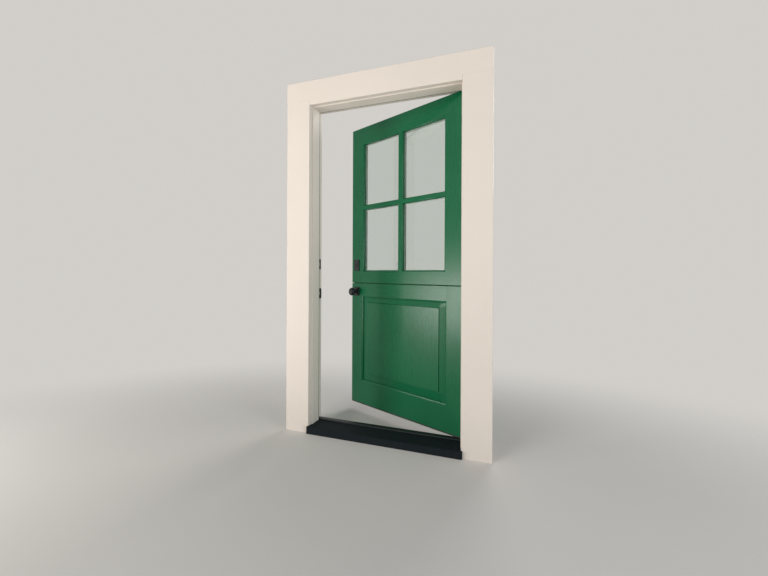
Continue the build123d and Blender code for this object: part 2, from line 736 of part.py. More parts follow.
with BuildPart() as upper_slab:
    with BuildSketch(leaf_front):
        with Locations((leaf_middle, (upper_bottom + leaf_top) / 2)):
            Rectangle(LEAF_WIDTH, leaf_top - upper_bottom)
    extrude(amount=-LEAF_THICKNESS)
    chamfer(upper_slab.faces().filter_by(leaf_front).edges(), LEAF_EASE)
    with BuildSketch(leaf_front):
        with Locations(*light_places):
            Rectangle(light_width, light_height)
    extrude(amount=-LEAF_THICKNESS, mode=Mode.SUBTRACT)
    with BuildSketch(leaf_front):
        with Locations(*light_places):
            Rectangle(light_width + 2 * UPPER_STICKING, light_height + 2 * UPPER_STICKING)
    extrude(amount=-QUIRK, mode=Mode.SUBTRACT)
    quirks = upper_slab.faces().filter_by(leaf_front).filter_by_position(into_leaf, QUIRK / 2, 2 * QUIRK)
    fillet([edge for quirk in quirks for wire in quirk.inner_wires() for edge in wire.edges()], UPPER_OVOLO)
    with BuildSketch(leaf_front.offset(-GLASS_DEPTH)):
        with Locations(*light_places):
            Rectangle(light_width + 2 * GLASS_REBATE, light_height + 2 * GLASS_REBATE)
    extrude(amount=-(LEAF_THICKNESS - GLASS_DEPTH), mode=Mode.SUBTRACT)
    with BuildSketch(leaf_plan.offset(upper_bottom)):
        with Locations((leaf_middle, mid_depth)):
            Rectangle(LEAF_WIDTH, MEETING_SEAL_WIDTH)
    extrude(amount=MEETING_SEAL_GROOVE, mode=Mode.SUBTRACT)

upper_flat_left = leaf_left + UPPER_STILE_FLAT
upper_flat_right = leaf_right - UPPER_STILE_FLAT
upright_half = UPRIGHT_MUNTIN_FLAT / 2
cross_muntin = leaf_piece(
    upper_slab.part,
    [
        bar_outline(
            upper_flat_left, leaf_middle - upright_half, lights_middle, CROSS_MUNTIN_FLAT, UPPER_STICKING
        ),
        bar_outline(
            leaf_middle + upright_half, upper_flat_right, lights_middle, CROSS_MUNTIN_FLAT, UPPER_STICKING
        ),
    ],
)
upright_outline = [
    (leaf_middle + up - lights_middle, lights_middle + across - leaf_middle)
    for across, up in bar_outline(
        leaf_middle - (lights_top - lights_bottom) / 2 - UPPER_STICKING,
        leaf_middle + (lights_top - lights_bottom) / 2 + UPPER_STICKING,
        lights_middle,
        UPRIGHT_MUNTIN_FLAT,
        UPPER_STICKING,
    )
]
upright_muntin = leaf_piece(upper_slab.part, [upright_outline], [cross_muntin])
top_rail = leaf_piece(
    upper_slab.part,
    [rail_outline(upper_flat_left, upper_flat_right, leaf_top, leaf_top - TOP_RAIL_FLAT, -UPPER_STICKING)],
    [upright_muntin],
)
meeting_rail = leaf_piece(
    upper_slab.part,
    [
        rail_outline(
            upper_flat_left,
            upper_flat_right,
            upper_bottom,
            upper_bottom + MEETING_RAIL_FLAT,
            UPPER_STICKING,
        )
    ],
    [upright_muntin],
)
upper_joints = [top_rail, meeting_rail, cross_muntin]
upper_hinge_stile = leaf_piece(
    upper_slab.part,
    [stile_outline(leaf_right, lights_right, upper_bottom, leaf_top)],
    upper_joints,
)
upper_lock_stile = leaf_piece(
    upper_slab.part,
    [stile_outline(leaf_left, lights_left, upper_bottom, leaf_top)],
    upper_joints,
)
deadbolt_face_spots = faceplate_spots(deadbolt_z)
deadbolt_plate_spots = plate_spots(deadbolt_z, LOCK_PLATE_SCREW_OFFSET, LOCK_PLATE_THICKNESS)
keeper_spots = spots(
    leaf_back.offset(COUPLING_PLATE_THICKNESS),
    [
        (-coupling_x + sign * COUPLING_SCREW_SPREAD / 2, keeper_bottom + KEEPER_HEIGHT - KEEPER_SCREW_OFFSET)
        for sign in (-1, 1)
    ],
)
save(cross_muntin, "upper_cross_muntin")
save(upright_muntin, "upper_upright_muntin")
save(top_rail, "upper_top_rail")
save(drilled(meeting_rail, keeper_spots), "upper_meeting_rail")
save(mortised_stile(upper_hinge_stile, upper_hinges), "upper_hinge_stile")
save(
    bored_stile(upper_lock_stile, deadbolt_z, deadbolt_face_spots + deadbolt_plate_spots),
    "upper_lock_stile",
)

# Glass in its rebates, and the beads that hold it from indoors
light_names = ("top_left", "top_right", "bottom_left", "bottom_right")
for name, place in zip(light_names, light_places):
    with BuildPart() as pane:
        with BuildSketch(leaf_front.offset(-GLASS_DEPTH)):
            with Locations(place):
                Rectangle(light_width + 2 * GLASS_REBATE, light_height + 2 * GLASS_REBATE)
        extrude(amount=-GLASS_THICKNESS)
    save(pane.part, f"glass_{name}")

with BuildPart() as glazing_beads:
    with BuildSketch(leaf_front.offset(-GLASS_DEPTH - GLASS_THICKNESS)):
        with Locations(*light_places):
            Rectangle(light_width + 2 * GLASS_REBATE, light_height + 2 * GLASS_REBATE)
            Rectangle(light_width, light_height, mode=Mode.SUBTRACT)
    extrude(amount=-BEAD_HEIGHT)
    bead_tops = glazing_beads.faces().filter_by(leaf_front).group_by(into_leaf)[-1]
    fillet([edge for top in bead_tops for wire in top.inner_wires() for edge in wire.edges()], BEAD_ROUND)
save(glazing_beads.part, "glazing_beads")

with BuildPart() as meeting_seal:
    with BuildSketch(leaf_plan.offset(lower_top + SEAL_CLEARANCE)):
        with Locations((leaf_middle, mid_depth)):
            Rectangle(LEAF_WIDTH, MEETING_SEAL_WIDTH)
    extrude(amount=SPLIT_GAP + MEETING_SEAL_GROOVE - SEAL_CLEARANCE)
save(meeting_seal.part, "meeting_seal")

# Lower leaf, cut from one slab in the same way
panel_left = leaf_left + LOWER_STILE_FLAT + LOWER_STICKING
panel_right = leaf_right - LOWER_STILE_FLAT - LOWER_STICKING
panel_bottom = leaf_bottom + BOTTOM_RAIL_FLAT + LOWER_STICKING
panel_top = lower_top - PANEL_TOP_RAIL_FLAT - LOWER_STICKING
panel_width = panel_right - panel_left
panel_height = panel_top - panel_bottom
panel_place = (leaf_middle, (panel_bottom + panel_top) / 2)
tongue_thickness = LEAF_THICKNESS - 2 * PANEL_DEPTH

with BuildPart() as lower_slab:
    with BuildSketch(leaf_front):
        with Locations((leaf_middle, (leaf_bottom + lower_top) / 2)):
            Rectangle(LEAF_WIDTH, lower_top - leaf_bottom)
    extrude(amount=-LEAF_THICKNESS)
    chamfer(lower_slab.faces().filter_by(leaf_front).edges(), LEAF_EASE)
    with BuildSketch(leaf_front):
        with Locations(panel_place):
            Rectangle(panel_width, panel_height)
    extrude(amount=-LEAF_THICKNESS, mode=Mode.SUBTRACT)
    for plane in (leaf_front, leaf_front.offset(LOWER_QUIRK - LEAF_THICKNESS)):
        with BuildSketch(plane):
            with Locations(panel_place):
                Rectangle(panel_width + 2 * LOWER_STICKING, panel_height + 2 * LOWER_STICKING)
        extrude(amount=-LOWER_QUIRK, mode=Mode.SUBTRACT)
    panel_quirks = lower_slab.faces().filter_by(leaf_front).filter_by_position(
        into_leaf, LOWER_QUIRK / 2, LEAF_THICKNESS - LOWER_QUIRK / 2
    )
    fillet(
        [edge for quirk in panel_quirks for wire in quirk.inner_wires() for edge in wire.edges()],
        LOWER_OVOLO,
    )
    with BuildSketch(leaf_front.offset(-PANEL_DEPTH)):
        with Locations(panel_place):
            Rectangle(panel_width + 2 * PANEL_GROOVE, panel_height + 2 * PANEL_GROOVE)
    extrude(amount=-tongue_thickness, mode=Mode.SUBTRACT)

lower_flat_left = leaf_left + LOWER_STILE_FLAT
lower_flat_right = leaf_right - LOWER_STILE_FLAT
lower_top_rail = leaf_piece(
    lower_slab.part,
    [
        rail_outline(
            lower_flat_left,
            lower_flat_right,
            lower_top,
            lower_top - PANEL_TOP_RAIL_FLAT,
            -LOWER_STICKING,
        )
    ],
)
lower_bottom_rail = leaf_piece(
    lower_slab.part,
    [
        rail_outline(
            lower_flat_left,
            lower_flat_right,
            leaf_bottom,
            leaf_bottom + BOTTOM_RAIL_FLAT,
            LOWER_STICKING,
        )
    ],
)
lower_joints = [lower_top_rail, lower_bottom_rail]
lower_hinge_stile = leaf_piece(
    lower_slab.part,
    [stile_outline(leaf_right, panel_right, leaf_bottom, lower_top)],
    lower_joints,
)
lower_lock_stile = leaf_piece(
    lower_slab.part,
    [stile_outline(leaf_left, panel_left, leaf_bottom, lower_top)],
    lower_joints,
)
latch_face_spots = faceplate_spots(latch_z)
rose_spots = plate_spots(latch_z, ROSE_SCREW_OFFSET, ROSE_THICKNESS)
coupling_spots = spots(
    leaf_back.offset(COUPLING_PLATE_THICKNESS),
    [
        (-coupling_x + across * COUPLING_SCREW_SPREAD / 2, (coupling_bottom + coupling_top) / 2 + up)
        for across in (-1, 1)
        for up in (-GUIDE_HEIGHT, GUIDE_HEIGHT)
    ],
)
save(drilled(lower_top_rail, coupling_spots), "lower_top_rail")
save(lower_bottom_rail, "lower_bottom_rail")
save(mortised_stile(lower_hinge_stile, lower_hinges), "lower_hinge_stile")
save(bored_stile(lower_lock_stile, latch_z, latch_face_spots + rose_spots), "lower_lock_stile")

# Panel: a tongue in the grooves, bevelled up to a raised field with a crisp step, on both faces
field_width = panel_width - 2 * FIELD_SIDE_BEVEL
field_height = panel_height - FIELD_TOP_BEVEL - FIELD_BOTTOM_BEVEL
field_place = (leaf_middle, (panel_bottom + FIELD_BOTTOM_BEVEL + panel_top - FIELD_TOP_BEVEL) / 2)
bevel_end = FIELD_DEPTH + FIELD_STEP
with BuildPart() as raised_panel:
    with BuildSketch(leaf_front.offset(-PANEL_DEPTH)):
        with Locations(panel_place):
            Rectangle(panel_width + 2 * PANEL_GROOVE, panel_height + 2 * PANEL_GROOVE)
    extrude(amount=-tongue_thickness)
    for foot, brow in ((PANEL_DEPTH, bevel_end), (LEAF_THICKNESS - PANEL_DEPTH, LEAF_THICKNESS - bevel_end)):
        with BuildSketch(leaf_front.offset(-foot)):
            with Locations(panel_place):
                Rectangle(panel_width, panel_height)
        with BuildSketch(leaf_front.offset(-brow)):
            with Locations(field_place):
                Rectangle(field_width, field_height)
        loft()
    for step_start in (FIELD_DEPTH, LEAF_THICKNESS - bevel_end):
        with BuildSketch(leaf_front.offset(-step_start)):
            with Locations(field_place):
                Rectangle(field_width, field_height)
        extrude(amount=-FIELD_STEP)
save(raised_panel.part, "raised_panel")

# Sweep: a soft strip with three fins that brush the cap
sweep_bottom = leaf_bottom - SWEEP_HEIGHT
sweep_depth = LEAF_THICKNESS - 2 * LEAF_EASE
with BuildPart() as bottom_sweep:
    with BuildSketch(leaf_plan.offset(sweep_bottom)):
        with Locations((leaf_middle, mid_depth)):
            Rectangle(LEAF_WIDTH - 2 * LEAF_EASE, sweep_depth)
    extrude(amount=SWEEP_HEIGHT)
    fin_gap = (sweep_depth - 3 * SWEEP_FIN) / 2
    with BuildSketch(leaf_plan.offset(sweep_bottom)):
        with Locations(
            (leaf_middle, mid_depth - (fin_gap + SWEEP_FIN) / 2),
            (leaf_middle, mid_depth + (fin_gap + SWEEP_FIN) / 2),
        ):
            Rectangle(LEAF_WIDTH, fin_gap)
    extrude(amount=SWEEP_HEIGHT - SWEEP_FIN / 2, mode=Mode.SUBTRACT)
save(bottom_sweep.part, "bottom_sweep")


def lock_face(height, screw_places):
    """A faceplate with the sleeve that guides its bolt."""
    with BuildPart() as face:
        with BuildSketch(lock_edge.offset(-FACEPLATE_THICKNESS)):
            with Locations((-mid_depth, height)):
                RectangleRounded(FACEPLATE_WIDTH, FACEPLATE_HEIGHT, FACEPLATE_CORNER)
        extrude(amount=FACEPLATE_THICKNESS)
        with BuildSketch(lock_edge.offset(-FACEPLATE_THICKNESS)):
            with Locations((-mid_depth, height)):
                Circle(SLEEVE_RADIUS)
        extrude(amount=-SLEEVE_LENGTH)
        with BuildSketch(lock_edge.offset(-FACEPLATE_THICKNESS)):
            with Locations((-mid_depth, height)):
                Circle(bolt_hole_radius)
        extrude(amount=-SLEEVE_LENGTH, mode=Mode.SUBTRACT)
        with BuildSketch(lock_edge):
            with Locations((-mid_depth, height)):
                bolt_outline(bolt_hole_radius, BOLT_THICKNESS + 2 * BOLT_CLEARANCE)
        extrude(amount=-FACEPLATE_THICKNESS, mode=Mode.SUBTRACT)
        with Locations(*screw_places):
            CounterSinkHole(screw_hole_radius, screw_sink_radius, FACEPLATE_THICKNESS, 90)
    return face.part


def lock_bolt(height, tip, spindle_radius, travel, bevel=0):
    """A bolt with a slotted yoke round the spindle; travel is along +x from the outermost place."""
    head_end = -tip + BOLT_HEAD_LENGTH
    head_back = leaf_left + head_end
    slot_radius = spindle_radius + YOKE_SLOT_CLEARANCE
    slot_start = lock_axis - slot_radius - max(travel, 0)
    slot_end = lock_axis + slot_radius + max(-travel, 0)
    with BuildPart() as bolt:
        with BuildSketch(lock_edge.offset(tip)):
            with Locations((-mid_depth, height)):
                bolt_outline(BOLT_RADIUS, BOLT_THICKNESS)
        extrude(amount=-BOLT_HEAD_LENGTH)
        if bevel:
            with BuildSketch(leaf_plan.offset(height - BOLT_RADIUS)):
                with BuildLine():
                    front = mid_depth - BOLT_THICKNESS / 2
                    Polyline(
                        (leaf_left - tip, front),
                        (leaf_left - tip + bevel, front),
                        (leaf_left - tip, front + bevel),
                        close=True,
                    )
                make_face()
            extrude(amount=2 * BOLT_RADIUS, mode=Mode.SUBTRACT)
        with BuildSketch(leaf_front.offset(YOKE_THICKNESS / 2 - mid_depth)):
            with Locations(((head_back + slot_end + YOKE_WALL) / 2, height)):
                Rectangle(slot_end + YOKE_WALL - head_back, YOKE_HEIGHT)
            with Locations(((slot_start + slot_end) / 2, height)):
                Rectangle(slot_end - slot_start, 2 * slot_radius, mode=Mode.SUBTRACT)
        extrude(amount=-YOKE_THICKNESS)
    return bolt.part


save(lock_face(deadbolt_z, deadbolt_face_spots), "deadbolt_faceplate")
save(lock_face(latch_z, latch_face_spots), "latch_faceplate")
save(
    lock_bolt(deadbolt_z, -DEADBOLT_RECESS, TAILPIECE_WIDTH / 2 + 1, -DEADBOLT_THROW),
    "deadbolt",
)
spindle_reach = SPINDLE_WIDTH * 2**0.5 / 2
save(lock_bolt(latch_z, LATCH_THROW, spindle_reach, LATCH_TRAVEL, LATCH_BEVEL), "latch_bolt")


def face_plate(plane, across, height, size, thickness, corner):
    """A rectangular plate on a face of the leaf, with a bevelled front edge."""
    with BuildPart() as plate:
        with BuildSketch(plane):
            with Locations((across, height)):
                RectangleRounded(size[0], size[1], corner)
        extrude(amount=thickness)
        front = plate.faces().sort_by(Axis(plane.origin, plane.z_dir))[-1]
        chamfer(front.edges(), PLATE_CHAMFER)
    return plate.part


# Deadbolt furniture: a keyed plate outdoors and a turn indoors
lock_plate_size = (LOCK_PLATE_WIDTH, LOCK_PLATE_HEIGHT)
key_face = LOCK_PLATE_THICKNESS + KEY_BOSS_HEIGHT
with BuildPart() as deadbolt_outer_plate:
    add(face_plate(leaf_front, lock_axis, deadbolt_z, lock_plate_size, LOCK_PLATE_THICKNESS, LOCK_PLATE_CORNER))
    with BuildSketch(leaf_front.offset(LOCK_PLATE_THICKNESS)):
        with Locations((lock_axis, deadbolt_z)):
            Circle(KEY_BOSS_RADIUS)
    extrude(amount=KEY_BOSS_HEIGHT, taper=20)
    with BuildSketch(leaf_front):
        with Locations((lock_axis, deadbolt_z)):
            Circle(KEY_PLUG_RADIUS)
    extrude(amount=key_face, mode=Mode.SUBTRACT)
save(deadbolt_outer_plate.part, "deadbolt_outer_plate")

with BuildPart() as key_plug:
    with BuildSketch(leaf_front):
        with Locations((lock_axis, deadbolt_z)):
            Circle(KEY_PLUG_RADIUS)
    extrude(amount=key_face + KEY_PLUG_PROJECTION)
    with BuildSketch(leaf_front.offset(key_face + KEY_PLUG_PROJECTION)):
        with Locations((lock_axis, deadbolt_z)):
            Rectangle(KEYWAY_WIDTH, KEYWAY_HEIGHT)
    extrude(amount=-key_face, mode=Mode.SUBTRACT)
save(key_plug.part, "key_plug")

with BuildPart() as deadbolt_inner_plate:
    add(face_plate(leaf_back, -lock_axis, deadbolt_z, lock_plate_size, LOCK_PLATE_THICKNESS, LOCK_PLATE_CORNER))
    with BuildSketch(leaf_back):
        with Locations((-lock_axis, deadbolt_z)):
            Circle(TURN_SHAFT_RADIUS + SHAFT_CLEARANCE)
    extrude(amount=LOCK_PLATE_THICKNESS, mode=Mode.SUBTRACT)
    with Locations(*deadbolt_plate_spots):
        CounterSinkHole(screw_hole_radius, screw_sink_radius, LOCK_PLATE_THICKNESS, 90)
save(deadbolt_inner_plate.part, "deadbolt_inner_plate")

with BuildPart() as thumbturn:
    with BuildSketch(leaf_back):
        with Locations((-lock_axis, deadbolt_z)):
            Circle(TURN_SHAFT_RADIUS)
    extrude(amount=LOCK_PLATE_THICKNESS + TURN_COLLAR_HEIGHT)
    with BuildSketch(leaf_back.offset(LOCK_PLATE_THICKNESS + SEAL_CLEARANCE)):
        with Locations((-lock_axis, deadbolt_z)):
            Circle(TURN_COLLAR_RADIUS)
    extrude(amount=TURN_COLLAR_HEIGHT)
    with BuildSketch(leaf_back.offset(LOCK_PLATE_THICKNESS + TURN_COLLAR_HEIGHT)):
        with Locations(Pos(-lock_axis, deadbolt_z) * Rot(0, 0, 90)):
            SlotOverall(TURN_GRIP_LENGTH, TURN_GRIP_WIDTH)
    extrude(amount=TURN_GRIP_HEIGHT, taper=3)
    with BuildSketch(leaf_back):
        with Locations((-lock_axis, deadbolt_z)):
            Rectangle(TAILPIECE_THICKNESS, TAILPIECE_WIDTH)
    extrude(amount=-(LEAF_THICKNESS - KEYWAY_HEIGHT))
save(thumbturn.part, "thumbturn")

# Knob furniture, the same on both faces
rose_size = (ROSE_WIDTH, ROSE_HEIGHT)
neck_hole = KNOB_NECK_RADIUS + SHAFT_CLEARANCE


def rose(plane, across):
    """The rectangular rose behind a knob."""
    with BuildPart() as plate:
        add(face_plate(plane, across, latch_z, rose_size, ROSE_THICKNESS, LOCK_PLATE_CORNER))
        with BuildSketch(plane):
            with Locations((across, latch_z)):
                Circle(neck_hole)
        extrude(amount=ROSE_THICKNESS, mode=Mode.SUBTRACT)
    return plate.part


def knob(face_y, outward):
    """A flattened ball on a neck, turned about the spindle; outward is -1 outdoors and 1 indoors."""
    turning = on_leaf(
        Plane(origin=(lock_axis, face_y, latch_z), x_dir=(0, outward, 0), z_dir=(0, 0, 1))
    )
    ball_middle = KNOB_PROJECTION - KNOB_HALF_DEPTH
    neck_end = ball_middle - KNOB_HALF_DEPTH * (1 - (KNOB_NECK_RADIUS / KNOB_RADIUS) ** 2) ** 0.5
    with BuildPart() as ball:
        with BuildSketch(turning) as profile:
            with Locations((ball_middle, 0)):
                Ellipse(KNOB_HALF_DEPTH, KNOB_RADIUS)
            with Locations((KNOB_NECK_START, 0)):
                Rectangle(
                    ball_middle - KNOB_NECK_START, 2 * KNOB_NECK_RADIUS, align=(Align.MIN, Align.CENTER)
                )
            Rectangle(KNOB_PROJECTION, KNOB_RADIUS, align=(Align.MIN, Align.MIN), mode=Mode.INTERSECT)
            throat = profile.vertices().sort_by_distance((neck_end, KNOB_NECK_RADIUS))[:1]
            fillet(throat, KNOB_NECK_ROUND)
        revolve(axis=Axis(turning.origin, turning.x_dir))
        socket = Plane(origin=turning.origin, x_dir=turning.y_dir, z_dir=turning.x_dir)
        with BuildSketch(socket):
            Rectangle(SPINDLE_WIDTH, SPINDLE_WIDTH)
        extrude(amount=SPINDLE_PROJECTION, mode=Mode.SUBTRACT)
    return ball.part


save(rose(leaf_front, lock_axis), "rose_outer")
with BuildPart() as rose_inner:
    add(rose(leaf_back, -lock_axis))
    with Locations(*rose_spots):
        CounterSinkHole(screw_hole_radius, screw_sink_radius, ROSE_THICKNESS, 90)
save(rose_inner.part, "rose_inner")
save(knob(0, -1), "knob_outer")
save(knob(LEAF_THICKNESS, 1), "knob_inner")

with BuildPart() as spindle:
    with BuildSketch(leaf_front.offset(SPINDLE_PROJECTION)):
        with Locations((lock_axis, latch_z)):
            Rectangle(SPINDLE_WIDTH, SPINDLE_WIDTH)
    extrude(amount=-(LEAF_THICKNESS + 2 * SPINDLE_PROJECTION))
save(spindle.part, "spindle")

# Coupling bolt: a guided rod on the lower leaf that slides up into a keeper on the upper one
guide_bottoms = (coupling_bottom + GUIDE_INSET, coupling_top - GUIDE_INSET - GUIDE_HEIGHT)


def guided_plate(bottom, height, bottoms, screw_places):
    """A plate on the indoor face with a bored guide block starting at each of the bottoms."""
    with BuildPart() as plate:
        with BuildSketch(leaf_back):
            with Locations((-coupling_x, bottom + height / 2)):
                RectangleRounded(COUPLING_PLATE_WIDTH, height, COUPLING_CORNER)
        extrude(amount=COUPLING_PLATE_THICKNESS)
        for start in bottoms:
            with BuildSketch(leaf_plan.offset(start)) as block:
                with Locations((coupling_x, LEAF_THICKNESS + COUPLING_PLATE_THICKNESS)):
                    Rectangle(GUIDE_WIDTH, GUIDE_DEPTH, align=(Align.CENTER, Align.MIN))
                fillet(block.vertices().group_by(Axis.Y)[-1], GUIDE_ROUND)
                with Locations((coupling_x, coupling_rod_y)):
                    Circle(ROD_RADIUS + ROD_CLEARANCE, mode=Mode.SUBTRACT)
            extrude(amount=GUIDE_HEIGHT)
        with Locations(*screw_places):
            CounterSinkHole(screw_hole_radius, screw_sink_radius, COUPLING_PLATE_THICKNESS, 90)
    return plate.part


save(
    guided_plate(coupling_bottom, COUPLING_PLATE_HEIGHT, guide_bottoms, coupling_spots),
    "coupling_guide",
)
save(
    guided_plate(keeper_bottom, KEEPER_HEIGHT, (keeper_bottom + GUIDE_INSET,), keeper_spots),
    "coupling_keeper",
)

pull_z = guide_bottoms[0] + GUIDE_HEIGHT + PULL_GAP + PULL_RADIUS
with BuildPart() as coupling_bolt:
    with BuildSketch(leaf_plan.offset(coupling_bottom)):
        with Locations((coupling_x, coupling_rod_y)):
            Circle(ROD_RADIUS)
    extrude(amount=lower_top - ROD_REST - coupling_bottom)
    rod_end = coupling_bolt.faces().sort_by(Axis.Z)[-1]
    chamfer(rod_end.edges(), 1)
    with BuildSketch(leaf_front.offset(-coupling_rod_y)):
        with Locations((coupling_x, pull_z)):
            Circle(PULL_RADIUS)
    extrude(amount=-PULL_LENGTH)
save(coupling_bolt.part, "coupling_bolt")

# Screws of each leaf
save(
    screws(
        hinge_spots(hinge_edge, upper_hinges, 1) + deadbolt_face_spots + deadbolt_plate_spots + keeper_spots
    ),
    "upper_leaf_screws",
)
save(
    screws(hinge_spots(hinge_edge, lower_hinges, 1) + latch_face_spots + rose_spots + coupling_spots),
    "lower_leaf_screws",
)
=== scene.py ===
"""Looks of a half-glazed stable door: painted timber, sealed glass and black furniture."""

from __future__ import annotations

import logging
import math
from collections.abc import Callable, Sequence
from dataclasses import dataclass, field
from enum import Enum
from typing import Any, Union

import bmesh
import bpy
from mathutils import Matrix, Vector


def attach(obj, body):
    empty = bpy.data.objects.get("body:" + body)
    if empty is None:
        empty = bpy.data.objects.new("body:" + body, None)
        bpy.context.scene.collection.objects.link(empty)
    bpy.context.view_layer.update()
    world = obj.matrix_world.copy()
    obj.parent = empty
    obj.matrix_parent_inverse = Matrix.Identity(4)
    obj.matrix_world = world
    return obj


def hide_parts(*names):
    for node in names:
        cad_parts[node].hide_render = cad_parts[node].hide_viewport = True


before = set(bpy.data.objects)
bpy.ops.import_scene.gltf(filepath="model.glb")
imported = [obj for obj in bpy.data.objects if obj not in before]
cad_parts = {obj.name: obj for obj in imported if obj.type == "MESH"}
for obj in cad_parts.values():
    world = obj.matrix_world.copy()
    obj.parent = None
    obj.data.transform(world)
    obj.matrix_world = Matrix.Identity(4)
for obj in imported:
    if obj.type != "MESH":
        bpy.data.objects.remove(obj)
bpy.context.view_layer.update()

log = logging.getLogger("stable_door")

# Both leaves stand open at rest, turned about the hinge pins. Places are in the shut leaf.
OPEN_ANGLE = math.radians(24.02)
PIN = Vector((0.501, 0.052, 0.0))
OPEN_TURN = (
    Matrix.Translation(PIN) @ Matrix.Rotation(-OPEN_ANGLE, 4, "Z") @ Matrix.Translation(-PIN)
)
SHUT_ROTATION = Matrix.Rotation(OPEN_ANGLE, 3, "Z")
LEAF_LEFT = -0.5
LEAF_RIGHT = 0.499
LEAF_THICKNESS = 0.045

# How near counts as touching, and how much of a direction counts as along an axis.
NEAR = 0.002
AIMED = 0.9

NOISE_MIDDLE = 0.5

Piece = bpy.types.Object
Material = bpy.types.Material
Colour = tuple[float, float, float]
Point = tuple[float, float, float]
Outline = tuple[tuple[float, float], ...]
Operand = Union["Socket", float, int]


class Grain(Enum):
    """Which way the fibres and the brush strokes of a timber piece run."""

    UPRIGHT = 2
    ACROSS = 0


class Body(Enum):
    """The bodies of the frame that new pieces ride on."""

    FRAME = "frame"
    UPPER = "upper_leaf"
    LOWER = "lower_leaf"
    KNOBS = "knobs"
    LATCH = "latch"
    TURN = "turn"
    DEADBOLT = "deadbolt"
    COUPLING = "coupling"


LEAF_SPANS = {Body.LOWER: (0.0614, 0.9744), Body.UPPER: (0.9784, 2.1614)}


class Socket:
    """A shader value that takes part in Python expressions."""

    def __init__(self, graph: Graph, output: bpy.types.NodeSocket) -> None:
        """Keep the output that holds the value, and the graph that new nodes join."""
        self.graph = graph
        self.output = output

    def _math(self, operation: str, first: Operand, second: Operand = 0.0) -> Socket:
        """Add a Math node on one or two operands and return its result."""
        return self.graph.node("ShaderNodeMath", {"operation": operation}, {0: first, 1: second})

    def __add__(self, other: Operand) -> Socket:
        """Return self + other."""
        return self._math("ADD", self, other)

    __radd__ = __add__

    def __sub__(self, other: Operand) -> Socket:
        """Return self - other."""
        return self._math("SUBTRACT", self, other)

    def __rsub__(self, other: Operand) -> Socket:
        """Return other - self."""
        return self._math("SUBTRACT", other, self)

    def __mul__(self, other: Operand) -> Socket:
        """Return self * other."""
        return self._math("MULTIPLY", self, other)

    __rmul__ = __mul__

    def limited(self) -> Socket:
        """Return self, no more than 1."""
        return self._math("MINIMUM", self, 1.0)

    def swing(self, width: float) -> Socket:
        """Centre a noise on 0 and make it that wide."""
        return (self - NOISE_MIDDLE) * width

    def ramp(self, low: float, high: float) -> Socket:
        """Return a value that rises smoothly from 0 at low to 1 at high."""
        inputs = {"Value": self, "From Min": low, "From Max": high}
        return self.graph.node("ShaderNodeMapRange", {"interpolation_type": "SMOOTHSTEP"}, inputs)


class Graph:
    """The node tree of one material or of the world."""

    def __init__(
        self, tree: bpy.types.NodeTree, grain: Grain = Grain.UPRIGHT, turn: float = 0.0
    ) -> None:
        """Empty the tree, and keep how its pattern lies.

        Args:
            tree: The node tree to fill.
            grain: Which way the fibres run.
            turn: Angle about the upright axis that squares the pattern with the piece.
        """
        self.tree = tree
        self.grain = grain
        self.turn = turn
        tree.nodes.clear()

    def node(
        self,
        kind: str,
        settings: dict[str, Any] | None = None,
        inputs: dict[Any, Any] | None = None,
        output: Any = 0,
    ) -> Socket | None:
        """Add any node.

        Args:
            kind: The node's type.
            settings: Properties of the node, set before its sockets.
            inputs: Values or links by socket name or number.
            output: Name or number of the output that is wanted.

        Returns:
            The wanted output, or None where the node has none.
        """
        made = self.tree.nodes.new(kind)
        for name, value in (settings or {}).items():
            setattr(made, name, value)
        for name, value in (inputs or {}).items():
            if isinstance(value, Socket):
                self.tree.links.new(value.output, made.inputs[name])
            else:
                made.inputs[name].default_value = value
        return Socket(self, made.outputs[output]) if len(made.outputs) else None

    def place(self, along: float = 1.0) -> Socket:
        """Give the surface point in metres, squared with its piece.

        Args:
            along: Factor along the grain, below 1 to draw a pattern out.

        Returns:
            The coordinates.
        """
        raw = self.node("ShaderNodeTexCoord", output="Object")
        squared = {0: raw, "Rotation": (0.0, 0.0, self.turn)}
        turned = self.node("ShaderNodeMapping", None, squared)
        scale = tuple(along if axis == self.grain.value else 1.0 for axis in range(3))
        return self.node("ShaderNodeMapping", None, {0: turned, "Scale": scale})

    def noise(
        self, place: Socket, scale: float, detail: float = 2.0, rough: float = 0.5
    ) -> Socket:
        """Return a noise about one half, of scale features in a metre, read at the place."""
        inputs = {"Vector": place, "Scale": scale, "Detail": detail, "Roughness": rough}
        return self.node("ShaderNodeTexNoise", None, inputs)

    def mix(self, factor: Operand, first: Any, second: Any) -> Socket:
        """Mix two colours.

        Args:
            factor: 0 for the first colour and 1 for the second.
            first: A colour or a link to one.
            second: A colour or a link to one.

        Returns:
            The mixed colour.
        """
        inputs = {
            0: factor,
            6: first if isinstance(first, Socket) else (*first, 1.0),
            7: second if isinstance(second, Socket) else (*second, 1.0),
        }
        return self.node("ShaderNodeMix", {"data_type": "RGBA"}, inputs, output=2)

    def bump(self, height: Socket, depth: float, under: Socket | None = None) -> Socket:
        """Turn a height of 0 to 1 into a normal.

        Args:
            height: The height.
            depth: Depth in metres at a height of 1.
            under: A normal that this one adds to.

        Returns:
            The normal.
        """
        inputs: dict[Any, Any] = {"Height": height, "Distance": depth, "Strength": 1.0}
        if under is not None:
            inputs["Normal"] = under
        return self.node("ShaderNodeBump", None, inputs)

    def show(self, shader: Socket) -> None:
        """Link a shader to the material's output."""
        self.node("ShaderNodeOutputMaterial", None, {"Surface": shader})


